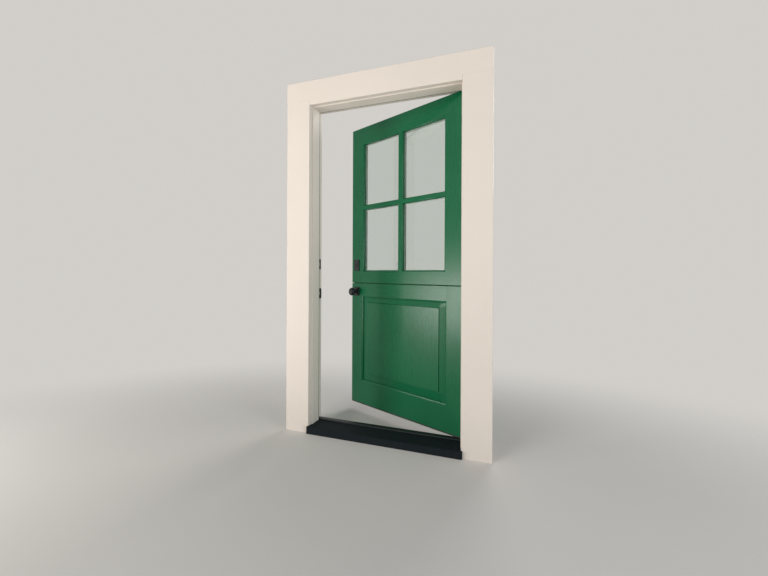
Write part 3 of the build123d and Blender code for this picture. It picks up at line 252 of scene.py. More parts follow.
def new_material(
    name: str, grain: Grain = Grain.UPRIGHT, turn: float = 0.0
) -> tuple[Material, Graph]:
    """Start a material.

    Args:
        name: The material's name.
        grain: Which way the fibres run.
        turn: Angle that squares the pattern with the piece.

    Returns:
        The material and its empty graph.
    """
    material = bpy.data.materials.new(name)
    material.use_nodes = True
    return material, Graph(material.node_tree, grain, turn)


@dataclass(frozen=True)
class Finish:
    """What every finish has: a name, and its materials once they are made."""

    name: str
    made: dict[Any, Material] = field(default_factory=dict, init=False)

    def material(self, grain: Grain = Grain.UPRIGHT, turn: float = 0.0) -> Material:
        """Give the material for a direction of the grain, made on its first use.

        Args:
            grain: Which way the fibres run.
            turn: Angle that squares the pattern with the piece.

        Returns:
            The material.
        """
        key = (grain, turn)
        if key not in self.made:
            self.made[key], graph = new_material(self.title(grain, turn), grain, turn)
            graph.show(self.shader(graph))
        return self.made[key]

    def title(self, grain: Grain, turn: float) -> str:
        """Name the material, which is one for every direction unless a finish says more."""
        return self.name

    def shader(self, graph: Graph) -> Socket:
        """Build the nodes and return the shader; each finish has its own."""
        raise NotImplementedError


@dataclass(frozen=True)
class Paint(Finish):
    """Brushed paint on planed timber, a little dusty low down.

    A scale is features in a metre. A tone or a roughness of a pattern is how far it moves
    the colour or the gloss.
    """

    colour: Colour
    deep: Colour
    dust: Colour
    roughness: float
    specular: float
    stroke_depth: float
    fibre_depth: float
    dust_high: float
    dust_share: float
    dust_low: float = 0.0
    dust_base: float = 0.35
    dust_roughness: float = 0.3
    cloud_scale: float = 2.2
    cloud_tone: float = 0.9
    cloud_roughness: float = 0.12
    mottle_scale: float = 60.0
    stroke_scale: float = 260.0
    stroke_stretch: float = 0.03
    stroke_tone: float = 0.35
    stroke_roughness: float = 0.10
    fibre_scale: float = 900.0
    fibre_stretch: float = 0.012

    def title(self, grain: Grain, turn: float) -> str:
        """Name the material for the way that its piece lies."""
        return f"{self.name}_{grain.name.lower()}{'_leaf' if turn else ''}"

    def shader(self, graph: Graph) -> Socket:
        """Build the nodes of the paint.

        Args:
            graph: The material's graph.

        Returns:
            The shader.
        """
        flat = graph.place()
        cloud = graph.noise(flat, self.cloud_scale, detail=3.0)
        mottle = graph.noise(flat, self.mottle_scale, detail=3.0)
        strokes = graph.noise(graph.place(self.stroke_stretch), self.stroke_scale, rough=0.6)
        fibres = graph.noise(graph.place(self.fibre_stretch), self.fibre_scale, rough=0.6)
        height = graph.node("ShaderNodeSeparateXYZ", None, {0: flat}, output="Z")
        low = 1 - height.ramp(self.dust_low, self.dust_high)
        dusty = low * (self.dust_base + mottle) * self.dust_share
        tone = cloud.swing(self.cloud_tone) + strokes.swing(self.stroke_tone) + NOISE_MIDDLE
        body = graph.mix(tone.ramp(0.0, 1.0), self.deep, self.colour)
        colour = graph.mix(dusty.limited(), body, self.dust)
        uneven = strokes.swing(self.stroke_roughness) + cloud.swing(self.cloud_roughness)
        roughness = uneven + dusty * self.dust_roughness + self.roughness
        normal = graph.bump(strokes, self.stroke_depth, graph.bump(fibres, self.fibre_depth))
        inputs = {
            "Base Color": colour,
            "Roughness": roughness,
            "Specular IOR Level": self.specular,
            "Normal": normal,
        }
        return graph.node("ShaderNodeBsdfPrincipled", None, inputs)


@dataclass(frozen=True)
class Metal(Finish):
    """A coated, blackened or bare metal, finely pitted and faintly smeared."""

    colour: Colour
    worn: Colour
    metallic: float
    roughness: float
    pit_scale: float = 1400.0
    pit_depth: float = 0.00004
    smear_scale: float = 35.0
    smear_roughness: float = 0.22
    worn_from: float = 0.4
    worn_to: float = 0.8

    def shader(self, graph: Graph) -> Socket:
        """Build the nodes of the metal.

        Args:
            graph: The material's graph.

        Returns:
            The shader.
        """
        flat = graph.place()
        pits = graph.noise(flat, self.pit_scale, detail=3.0, rough=0.6)
        smears = graph.noise(flat, self.smear_scale, detail=4.0, rough=0.6)
        wear = smears.ramp(self.worn_from, self.worn_to)
        inputs = {
            "Base Color": graph.mix(wear, self.colour, self.worn),
            "Metallic": self.metallic,
            "Roughness": smears.swing(self.smear_roughness) + self.roughness,
            "Normal": graph.bump(pits, self.pit_depth),
        }
        return graph.node("ShaderNodeBsdfPrincipled", None, inputs)


@dataclass(frozen=True)
class Rubber(Finish):
    """A soft black seal with a faint bloom of dust."""

    colour: Colour
    bloom: Colour
    roughness: float = 0.6
    dust_scale: float = 45.0
    dust_roughness: float = 0.2
    bloom_from: float = 0.35
    bloom_to: float = 0.8
    pore_scale: float = 900.0
    pore_depth: float = 0.00005

    def shader(self, graph: Graph) -> Socket:
        """Build the nodes of the rubber.

        Args:
            graph: The material's graph.

        Returns:
            The shader.
        """
        flat = graph.place()
        dust = graph.noise(flat, self.dust_scale, detail=4.0, rough=0.65)
        pores = graph.noise(flat, self.pore_scale)
        bloomed = dust.ramp(self.bloom_from, self.bloom_to)
        inputs = {
            "Base Color": graph.mix(bloomed, self.colour, self.bloom),
            "Roughness": dust * self.dust_roughness + self.roughness,
            "Normal": graph.bump(pores, self.pore_depth),
        }
        return graph.node("ShaderNodeBsdfPrincipled", None, inputs)


@dataclass(frozen=True)
class Glass(Finish):
    """Clear float glass, seen through and mirroring more at a slant."""

    tint: Colour
    gloss: Colour
    mirror_gain: float
    wave_scale: float = 3.0
    wave_depth: float = 0.0006
    film_scale: float = 14.0
    film_roughness: float = 0.05
    roughness: float = 0.03
    refraction: float = 1.52

    def shader(self, graph: Graph) -> Socket:
        """Build the nodes of the glass.

        Args:
            graph: The material's graph.

        Returns:
            The shader.
        """
        flat = graph.place()
        normal = graph.bump(graph.noise(flat, self.wave_scale, detail=1.0), self.wave_depth)
        film = graph.noise(flat, self.film_scale, detail=4.0, rough=0.6)
        through = graph.node("ShaderNodeBsdfTransparent", None, {"Color": (*self.tint, 1.0)})
        inputs = {
            "Color": (*self.gloss, 1.0),
            "Roughness": film.swing(self.film_roughness) + self.roughness,
            "Normal": normal,
        }
        mirror = graph.node("ShaderNodeBsdfGlossy", None, inputs)
        slant = graph.node("ShaderNodeFresnel", None, {"IOR": self.refraction, "Normal": normal})
        behind = graph.node("ShaderNodeNewGeometry", output="Backfacing")
        share = (slant * (1 - behind) * self.mirror_gain).limited()
        return graph.node("ShaderNodeMixShader", None, {0: share, 1: through, 2: mirror})


DOOR_PAINT = Paint(
    "emerald_satin",
    colour=(0.0032, 0.150, 0.058),
    deep=(0.0022, 0.113, 0.044),
    dust=(0.05, 0.15, 0.085),
    roughness=0.28,
    specular=0.32,
    stroke_depth=0.00012,
    fibre_depth=0.00004,
    dust_low=0.05,
    dust_high=0.35,
    dust_share=0.14,
)
FRAME_PAINT = Paint(
    "warm_white_eggshell",
    colour=(0.775, 0.705, 0.635),
    deep=(0.735, 0.665, 0.595),
    dust=(0.52, 0.49, 0.45),
    roughness=0.5,
    specular=0.4,
    stroke_depth=0.00012,
    fibre_depth=0.00005,
    dust_high=0.35,
    dust_share=0.30,
)
SILL_PAINT = Paint(
    "black_sill_paint",
    colour=(0.006, 0.011, 0.014),
    deep=(0.004, 0.008, 0.011),
    dust=(0.04, 0.04, 0.038),
    roughness=0.68,
    specular=0.12,
    stroke_depth=0.00010,
    fibre_depth=0.00006,
    dust_high=0.10,
    dust_share=0.12,
)
CAP_METAL = Metal(
    "bronze_anodised_cap",
    colour=(0.020, 0.026, 0.028),
    worn=(0.034, 0.038, 0.038),
    metallic=0.75,
    roughness=0.42,
)
SEAL_RUBBER = Rubber("black_seal", colour=(0.018, 0.018, 0.016), bloom=(0.05, 0.048, 0.044))
CLEAR_GLASS = Glass(
    "float_glass",
    tint=(0.93, 0.955, 0.945),
    gloss=(0.95, 0.97, 0.96),
    mirror_gain=1.8,
)
SPACER_METAL = Metal(
    "spacer_aluminium",
    colour=(0.66, 0.67, 0.65),
    worn=(0.72, 0.73, 0.70),
    metallic=0.25,
    roughness=0.5,
)
BLACK_METAL = Metal(
    "black_powder_coat",
    colour=(0.006, 0.009, 0.011),
    worn=(0.014, 0.017, 0.019),
    metallic=0.3,
    roughness=0.42,
)
HINGE_METAL = Metal(
    "black_hinge_coat",
    colour=(0.010, 0.011, 0.012),
    worn=(0.022, 0.023, 0.024),
    metallic=0.5,
    roughness=0.42,
)
BOLT_STEEL = Metal(
    "brushed_bolt_steel",
    colour=(0.50, 0.49, 0.47),
    worn=(0.38, 0.37, 0.35),
    metallic=1.0,
    roughness=0.30,
)
KEY_METAL = Metal(
    "dark_key_plug",
    colour=(0.030, 0.031, 0.032),
    worn=(0.050, 0.051, 0.052),
    metallic=0.8,
    roughness=0.36,
)
SCREW_STEEL = Metal(
    "blackened_screw_steel",
    colour=(0.05, 0.05, 0.05),
    worn=(0.10, 0.10, 0.10),
    metallic=0.9,
    roughness=0.38,
)


def shut_point(point: Vector) -> Vector:
    """Carry a point of the open leaf back round the hinge pins to the shut leaf."""
    return SHUT_ROTATION @ (point - PIN) + PIN


def extent(points: Sequence[Vector]) -> tuple[Vector, Vector]:
    """Give the lowest and the highest corner of some points.

    Args:
        points: The points.

    Returns:
        Both corners.
    """
    low = Vector([min(point[axis] for point in points) for axis in range(3)])
    high = Vector([max(point[axis] for point in points) for axis in range(3)])
    return low, high


class Bench:
    """Hand tools: each works on one object that is picked by itself.

    Edges past SHARP are eased. Shading runs on over edges below ROUND, and faces that meet
    below FLAT become one. A turned outline grows from a SPECK.
    """

    SHARP = math.radians(35.0)
    ROUND = math.radians(50.0)
    FLAT = math.radians(0.4)
    WELD = 0.00001
    TURNED_WELD = 0.000002
    SPECK = 0.001

    @staticmethod
    def clear_selection() -> None:
        """Deselect everything before a primitive is added."""
        for other in list(bpy.context.selected_objects):
            other.select_set(False)

    @classmethod
    def pick(cls, piece: Piece) -> None:
        """Select one object and nothing else.

        Args:
            piece: The object.
        """
        cls.clear_selection()
        piece.hide_viewport = False
        piece.select_set(True)
        bpy.context.view_layer.objects.active = piece

    @classmethod
    def edit(cls, piece: Piece, *steps: Callable[[], Any]) -> None:
        """Run steps on the whole mesh in edit mode.

        Args:
            piece: The object.
            steps: Calls of operators, each made with everything selected.
        """
        cls.pick(piece)
        bpy.ops.object.mode_set(mode="EDIT")
        for step in steps:
            bpy.ops.mesh.select_all(action="SELECT")
            step()
        bpy.ops.object.mode_set(mode="OBJECT")

    @classmethod
    def opened(cls, piece: Piece, kind: str) -> bmesh.types.BMesh:
        """Open a mesh in edit mode.

        Args:
            piece: The object.
            kind: VERT, EDGE or FACE, which is what is selected next.

        Returns:
            The mesh.
        """
        cls.pick(piece)
        bpy.ops.object.mode_set(mode="EDIT")
        bpy.ops.mesh.select_mode(type=kind)
        return bmesh.from_edit_mesh(piece.data)

    @classmethod
    def finish(cls, piece: Piece, kind: str, **settings: Any) -> None:
        """Add a modifier and apply it.

        Args:
            piece: The object.
            kind: The modifier's type.
            settings: The modifier's settings.
        """
        cls.pick(piece)
        modifier = piece.modifiers.new(kind.lower(), kind)
        for name, value in settings.items():
            setattr(modifier, name, value)
        bpy.ops.object.modifier_apply(modifier=modifier.name)

    @classmethod
    def smooth(cls, piece: Piece, angle: float) -> None:
        """Shade smooth, apart from edges sharper than the angle."""
        cls.pick(piece)
        bpy.ops.object.shade_smooth_by_angle(angle=angle)

    @classmethod
    def smooth_edges(cls, piece: Piece) -> None:
        """Shade the eased edges smooth and keep every flat face flat."""
        cls.smooth(piece, cls.ROUND)
        cls.finish(piece, "WEIGHTED_NORMAL", mode="FACE_AREA", weight=100, keep_sharp=True)

    @classmethod
    def ease(cls, piece: Piece, radius: float, segments: int) -> None:
        """Ease every sharp edge of a piece.

        Args:
            piece: The object.
            radius: Width of the eased edges.
            segments: Steps round an edge.
        """
        cls.finish(
            piece,
            "BEVEL",
            width=radius,
            segments=segments,
            limit_method="ANGLE",
            angle_limit=cls.SHARP,
        )
        cls.smooth_edges(piece)

    @classmethod
    def turned(cls, name: str, outline: Sequence[tuple[float, float]], steps: int) -> Piece:
        """Turn an outline round the upright axis, as on a lathe.

        Args:
            name: The object's name.
            outline: Radius and height of each point, from pole to pole.
            steps: Faces round the axis.

        Returns:
            The closed piece.
        """
        cls.clear_selection()
        bpy.ops.mesh.primitive_plane_add(size=cls.SPECK, location=(0.0, 0.0, 0.0))
        piece = bpy.context.object
        piece.name = name
        cls.opened(piece, "VERT")
        bpy.ops.mesh.select_all(action="SELECT")
        bpy.ops.mesh.merge(type="CENTER")
        bpy.ops.transform.translate(value=(outline[0][0], 0.0, outline[0][1]))
        for before, after in zip(outline, outline[1:]):
            step = (after[0] - before[0], 0.0, after[1] - before[1])
            bpy.ops.mesh.extrude_vertices_move(TRANSFORM_OT_translate={"value": step})
        bpy.ops.mesh.select_all(action="SELECT")
        bpy.ops.mesh.spin(
            steps=steps, angle=2 * math.pi, center=(0.0, 0.0, 0.0), axis=(0.0, 0.0, 1.0)
        )
        bpy.ops.mesh.select_all(action="SELECT")
        bpy.ops.mesh.remove_doubles(threshold=cls.TURNED_WELD)
        bpy.ops.mesh.normals_make_consistent(inside=False)
        bpy.ops.object.mode_set(mode="OBJECT")
        cls.smooth(piece, cls.SHARP)
        return piece

    @staticmethod
    def twin(piece: Piece, place: Matrix) -> Piece:
        """Copy a piece with its own mesh and set the copy in its place.

        Args:
            piece: The piece.
            place: Where the copy goes.

        Returns:
            The copy.
        """
        copy = bpy.data.objects.new(piece.name, piece.data.copy())
        bpy.context.scene.collection.objects.link(copy)
        copy.data.transform(place)
        return copy

    @classmethod
    def joined(cls, pieces: Sequence[Piece], name: str) -> Piece:
        """Join pieces into the first one.

        Args:
            pieces: The pieces.
            name: The joined piece's name.

        Returns:
            The joined piece.
        """
        cls.pick(pieces[0])
        for piece in pieces[1:]:
            piece.select_set(True)
        bpy.ops.object.join()
        pieces[0].name = name
        return pieces[0]

    @staticmethod
    def drop(piece: Piece) -> None:
        """Remove a helper that isn't part of the door."""
        bpy.data.objects.remove(piece, do_unlink=True)

    @classmethod
    def clean_copy(cls, node: str, name: str) -> Piece:
        """Copy a solid of the frame as one joined mesh with few faces.

        Args:
            node: The solid's name.
            name: The copy's name.

        Returns:
            The copy.
        """
        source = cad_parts[node]
        copy = bpy.data.objects.new(name, source.data.copy())
        bpy.context.scene.collection.objects.link(copy)
        copy.data.materials.clear()
        cls.edit(
            copy,
            lambda: bpy.ops.mesh.remove_doubles(threshold=cls.WELD),
            lambda: bpy.ops.mesh.dissolve_limited(angle_limit=cls.FLAT),
        )
        return copy


def settle(piece: Piece, body: Body, slot: str, material: Material, *names: str) -> None:
    """Give a finished piece its material, its body and the solids that it stands for.

    Args:
        piece: The piece.
        body: The body that it moves with.
        slot: The record's name of the finish; not used.
        material: The material.
        names: The solids that it replaces.
    """
    piece.data.materials.clear()
    piece.data.materials.append(material)
    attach(piece, body.value)
    if names:
        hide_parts(*names)
    log.info("%s rides on %s, %d faces", piece.name, body.value, len(piece.data.polygons))


def dress(node: str, material: Material) -> None:
    """Give a solid of the frame a finish and leave its shape.

    Args:
        node: The solid's name.
        material: The material.
    """
    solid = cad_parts[node]
    if not solid.material_slots:
        solid.data.materials.append(material)
    for place in solid.material_slots:
        place.material = material
    log.info("%s keeps its solid", node)


def is_outer_arris(edge: bmesh.types.BMEdge, foot: float, top: float) -> bool:
    """Tell whether an edge runs along the outline of its leaf, where it is sanded round.

    Args:
        edge: An edge of a piece of leaf timber.
        foot: Height of the leaf's lowest edge.
        top: Height of the leaf's highest edge.

    Returns:
        True for a sharp edge of a face on the leaf's outline.
    """
    if len(edge.link_faces) != 2 or edge.calc_face_angle(0.0) < Bench.SHARP:
        return False
    first, second = edge.verts[0].co, edge.verts[1].co
    middle = shut_point((first + second) / 2)
    run = SHUT_ROTATION @ (second - first).normalized()
    on_side = min(middle.x - LEAF_LEFT, LEAF_RIGHT - middle.x) < NEAR
    on_end = min(middle.z - foot, top - middle.z) < NEAR
    on_face = min(middle.y, LEAF_THICKNESS - middle.y) < NEAR
    upright = abs(run.z) > AIMED
    across = abs(run.x) > AIMED
    return on_face and ((on_side and upright) or (on_end and across))


def sanded(node: str, body: Body, grain: Grain, radius: float) -> None:
    """Stand for a piece of leaf timber with a copy whose outer arrises are rounded.

    The joints with its neighbours stay tight, as paint closes them.

    Args:
        node: The solid's name.
        body: The leaf that it belongs to.
        grain: Which way its fibres run.
        radius: Width of the rounded edges.
    """
    piece = Bench.clean_copy(node, f"sanded_{node}")
    mesh = Bench.opened(piece, "EDGE")
    bpy.ops.mesh.select_all(action="DESELECT")
    for edge in mesh.edges:
        if is_outer_arris(edge, *LEAF_SPANS[body]):
            edge.select_set(True)
    bmesh.update_edit_mesh(piece.data)
    bpy.ops.mesh.bevel(offset=radius, segments=2, affect="EDGES", clamp_overlap=False)
    bpy.ops.object.mode_set(mode="OBJECT")
    Bench.smooth_edges(piece)
    settle(piece, body, "door_paint", DOOR_PAINT.material(grain, OPEN_ANGLE), node)


def eased(
    node: str,
    body: Body,
    slot: str,
    material: Material,
    radius: float,
    segments: int = 2,
) -> None:
    """Stand for a solid with a copy whose sharp edges are eased.

    Args:
        node: The solid's name.
        body: The body that it moves with.
        slot: The record's name of the finish.
        material: The material.
        radius: Width of the eased edges.
        segments: Steps round an edge.
    """
    piece = Bench.clean_copy(node, f"eased_{node}")
    Bench.ease(piece, radius, segments)
    settle(piece, body, slot, material, node)


@dataclass
class Sill:
    """The black sill with its raised cap."""

    arris: float = 0.0012
    cap_arris: float = 0.0006

    def build(self) -> None:
        """Ease both pieces and give them their finish."""
        paint = SILL_PAINT.material(Grain.ACROSS)
        eased("threshold", Body.FRAME, "sill_paint", paint, self.arris)
        eased("threshold_cap", Body.FRAME, "sill_cap", CAP_METAL.material(), self.cap_arris)


@dataclass
class DoorFrame:
    """Jambs, head and the flat boards round them, in warm white."""

    arris: float = 0.0008
    seal_arris: float = 0.0004
    timber: tuple[tuple[str, Grain], ...] = (
        ("hinge_jamb", Grain.UPRIGHT),
        ("strike_jamb", Grain.UPRIGHT),
        ("head_jamb", Grain.ACROSS),
        ("casing_hinge_side", Grain.UPRIGHT),
        ("casing_strike_side", Grain.UPRIGHT),
        ("casing_head", Grain.ACROSS),
    )

    def build(self) -> None:
        """Ease the timber and the seals, and give them their finish."""
        for node, grain in self.timber:
            eased(node, Body.FRAME, "frame_paint", FRAME_PAINT.material(grain), self.arris)
        for node in ("seal_hinge_side", "seal_strike_side", "seal_head"):
            eased(node, Body.FRAME, "seal_rubber", SEAL_RUBBER.material(), self.seal_arris)


@dataclass
class UpperLeaf:
    """The glazed leaf: stiles, rails and muntins in emerald, beads indoors."""

    arris: float = 0.0006

    def build(self) -> None:
        """Round the leaf's outline and paint the timber along its grain."""
        for node in ("upper_hinge_stile", "upper_lock_stile", "upper_upright_muntin"):
            sanded(node, Body.UPPER, Grain.UPRIGHT, self.arris)
        rails = ("upper_top_rail", "upper_meeting_rail", "upper_cross_muntin")
        for node in (*rails, "glazing_beads"):
            sanded(node, Body.UPPER, Grain.ACROSS, self.arris)
        dress("meeting_seal", SEAL_RUBBER.material())


@dataclass
class LowerLeaf:
    """The panelled leaf: stiles, rails and the raised panel in emerald."""

    arris: float = 0.0006
    panel_arris: float = 0.0004
    sweep_arris: float = 0.0002
    quirk_width: float = 0.0036
    quirk_depth: float = 0.0030
    field_foot: float = 0.0058
    reach: float = 0.0002

    def build(self) -> None:
        """Round the leaf's outline, groove the panel, and paint along the grain."""
        for node in ("lower_hinge_stile", "lower_lock_stile"):
            sanded(node, Body.LOWER, Grain.UPRIGHT, self.arris)
        for node in ("lower_top_rail", "lower_bottom_rail"):
            sanded(node, Body.LOWER, Grain.ACROSS, self.arris)
        panel = Bench.clean_copy("raised_panel", "quirked_panel")
        self._quirk(panel)
        Bench.ease(panel, self.panel_arris, segments=2)
        paint = DOOR_PAINT.material(Grain.UPRIGHT, OPEN_ANGLE)
        settle(panel, Body.LOWER, "door_paint", paint, "raised_panel")
        rubber = SEAL_RUBBER.material()
        eased("bottom_sweep", Body.LOWER, "seal_rubber", rubber, self.sweep_arris)

    def _quirk(self, panel: Piece) -> None:
        """Run a small groove along the foot of the raised field, on both faces.

        Args:
            panel: The panel, which stands open with its leaf.
        """
        panel.data.transform(OPEN_TURN.inverted())
        feet = (self.field_foot, LEAF_THICKNESS - self.field_foot)
        points = [vertex.co for vertex in panel.data.vertices]
        low, high = extent(
            [point for point in points if any(abs(point.y - foot) < self.reach for foot in feet)]
        )
        cuts = (
            ((low.x - self.quirk_width, 0.0, 0.0), (1.0, 0.0, 0.0)),
            ((high.x + self.quirk_width, 0.0, 0.0), (1.0, 0.0, 0.0)),
            ((0.0, 0.0, low.z - self.quirk_width), (0.0, 0.0, 1.0)),
            ((0.0, 0.0, high.z + self.quirk_width), (0.0, 0.0, 1.0)),
        )
        for place, facing in cuts:
            Bench.edit(panel, lambda: bpy.ops.mesh.bisect(plane_co=place, plane_no=facing))
        for depth, push in zip(feet, (self.quirk_depth, -self.quirk_depth)):
            mesh = Bench.opened(panel, "VERT")
            for vertex in mesh.verts:
                vertex.select_set(abs(vertex.co.y - depth) < self.reach)
            mesh.select_flush_mode()
            bmesh.update_edit_mesh(panel.data)
            bpy.ops.transform.translate(value=(0.0, push, 0.0))
            bpy.ops.object.mode_set(mode="OBJECT")
        panel.data.transform(OPEN_TURN)


@dataclass
class Hinges:
    """Four butt hinges: eased plates and knuckles, and turned pins with button tips."""

    plate_arris: float = 0.0003
    height: float = 0.100
    bottoms: tuple[float, ...] = (0.1914, 0.7744, 1.0784, 1.9314)
    steps: int = 24
    tip: Outline = (
        (0.0, 0.0025), (0.0016, 0.0024), (0.0032, 0.0020), (0.0044, 0.0012),
        (0.0050, 0.0002), (0.0049, -0.0001), (0.0030, -0.0001),
    )

    def build(self) -> None:
        """Ease the plates and turn the pins."""
        coat = HINGE_METAL.material()
        for number, body in ((1, Body.LOWER), (2, Body.LOWER), (3, Body.UPPER), (4, Body.UPPER)):
            eased(f"hinge_{number}_jamb_plate", Body.FRAME, "hinge_metal", coat, self.plate_arris)
            eased(f"hinge_{number}_leaf_plate", body, "hinge_metal", coat, self.plate_arris)
        outline = [(radius, -rise) for radius, rise in self.tip]
        outline += [(radius, self.height + rise) for radius, rise in reversed(self.tip)]
        pin = Bench.turned("hinge_pin", outline, self.steps)
        places = [Matrix.Translation(PIN + Vector((0, 0, bottom))) for bottom in self.bottoms]
        pins = Bench.joined([Bench.twin(pin, place) for place in places], "turned_hinge_pins")
        Bench.drop(pin)
        settle(pins, Body.FRAME, "hinge_metal", coat, "hinge_pins")


@dataclass
class Deadbolt:
    """Keyed plate outdoors, thumbturn indoors, bolt, faceplate and strike."""

    arris: float = 0.0005
    thin_arris: float = 0.00025
    grip_arris: float = 0.0012
    bolt_arris: float = 0.0006

    def build(self) -> None:
        """Ease every piece and coat it."""
        black = BLACK_METAL.material()
        for node, body, arris in (
            ("deadbolt_outer_plate", Body.UPPER, self.arris),
            ("deadbolt_inner_plate", Body.UPPER, self.arris),
            ("deadbolt_faceplate", Body.UPPER, self.thin_arris),
            ("deadbolt_strike", Body.FRAME, self.thin_arris),
        ):
            eased(node, body, "black_metal", black, arris)
        eased("key_plug", Body.UPPER, "black_metal", KEY_METAL.material(), self.thin_arris)
        eased("thumbturn", Body.TURN, "black_metal", black, self.grip_arris, segments=3)
        eased("deadbolt", Body.DEADBOLT, "bolt_steel", BOLT_STEEL.material(), self.bolt_arris)


@dataclass
class Latch:
    """Two turned knobs on rectangular roses, bevelled bolt, faceplate and strike."""

    arris: float = 0.0005
    thin_arris: float = 0.00025
    bolt_arris: float = 0.0006
    across: float = -0.4445
    height: float = 0.9104
    ball_middle: float = 0.052
    ball_depth: float = 0.020
    ball_radius: float = 0.030
    neck: Outline = (
        (0.0, 0.0020), (0.0110, 0.0020), (0.0110, 0.0102), (0.0152, 0.0103),
        (0.0158, 0.0108), (0.0158, 0.0126), (0.0152, 0.0132), (0.0122, 0.0136),
        (0.0110, 0.0146), (0.0104, 0.0165), (0.0102, 0.0195), (0.0103, 0.0230),
        (0.0107, 0.0265), (0.0116, 0.0298), (0.0131, 0.0322),
    )
    throat_angle: float = math.radians(33.5)
    ball_steps: int = 30
    steps: int = 56

    def build(self) -> None:
        """Turn both knobs and ease the plates."""
        black = BLACK_METAL.material()
        steel = BOLT_STEEL.material()
        for node, body, arris in (
            ("rose_outer", Body.LOWER, self.arris),
            ("rose_inner", Body.LOWER, self.arris),
            ("latch_faceplate", Body.LOWER, self.thin_arris),
            ("latch_strike", Body.FRAME, self.thin_arris),
        ):
            eased(node, body, "black_metal", black, arris)
        eased("latch_bolt", Body.LATCH, "bolt_steel", steel, self.bolt_arris)
        dress("spindle", steel)
        knob = Bench.turned("knob", self._outline(), self.steps)
        for node, depth, facing in (("knob_outer", 0.0, 1), ("knob_inner", LEAF_THICKNESS, -1)):
            spot = Matrix.Translation((self.across, depth, self.height))
            placed = OPEN_TURN @ spot @ Matrix.Rotation(facing * math.pi / 2, 4, "X")
            turned = Bench.twin(knob, placed)
            turned.name = f"turned_{node}"
            settle(turned, Body.KNOBS, "black_metal", black, node)
        Bench.drop(knob)

    def _outline(self) -> list[tuple[float, float]]:
        """Give the knob's outline from the leaf's face outwards.

        Returns:
            Radius and distance from the face of each point.
        """
        outline = list(self.neck)
        for step in range(self.ball_steps + 1):
            angle = self.throat_angle + (math.pi - self.throat_angle) * step / self.ball_steps
            radius = self.ball_radius * math.sin(angle) if step < self.ball_steps else 0.0
            outline.append((radius, self.ball_middle - self.ball_depth * math.cos(angle)))
        return outline


@dataclass
class CouplingBolt:
    """Guide, keeper and a turned rod with a small pull, indoors."""

    arris: float = 0.0004
    across: float = -0.340
    depth: float = 0.056
    rod: Outline = (
        (0.0, 0.8864), (0.0044, 0.8864), (0.0050, 0.8870), (0.0050, 0.9712),
        (0.0047, 0.9718), (0.0040, 0.9724), (0.0, 0.9724),
    )
    pull: Outline = (
        (0.0, 0.001), (0.0028, 0.001), (0.0028, 0.0058), (0.0040, 0.0062),
        (0.0040, 0.0074), (0.0030, 0.0080), (0.0032, 0.0092), (0.0040, 0.0108),
        (0.0044, 0.0126), (0.0043, 0.0144), (0.0036, 0.0160), (0.0022, 0.0168),
        (0.0, 0.0170),
    )
    pull_height: float = 0.9094
    rod_steps: int = 32
    pull_steps: int = 24

    def build(self) -> None:
        """Ease the plates and turn the rod and its pull."""
        black = BLACK_METAL.material()
        eased("coupling_guide", Body.LOWER, "black_metal", black, self.arris)
        eased("coupling_keeper", Body.UPPER, "black_metal", black, self.arris)
        rod = Bench.turned("rod", self.rod, self.rod_steps)
        pull = Bench.turned("pull", self.pull, self.pull_steps)
        rod.data.transform(Matrix.Translation((self.across, self.depth, 0.0)))
        seat = Matrix.Translation((self.across, self.depth, self.pull_height))
        pull.data.transform(seat @ Matrix.Rotation(-math.pi / 2, 4, "X"))
        bolt = Bench.joined([rod, pull], "turned_coupling_bolt")
        bolt.data.transform(OPEN_TURN)
        settle(bolt, Body.COUPLING, "black_metal", black, "coupling_bolt")


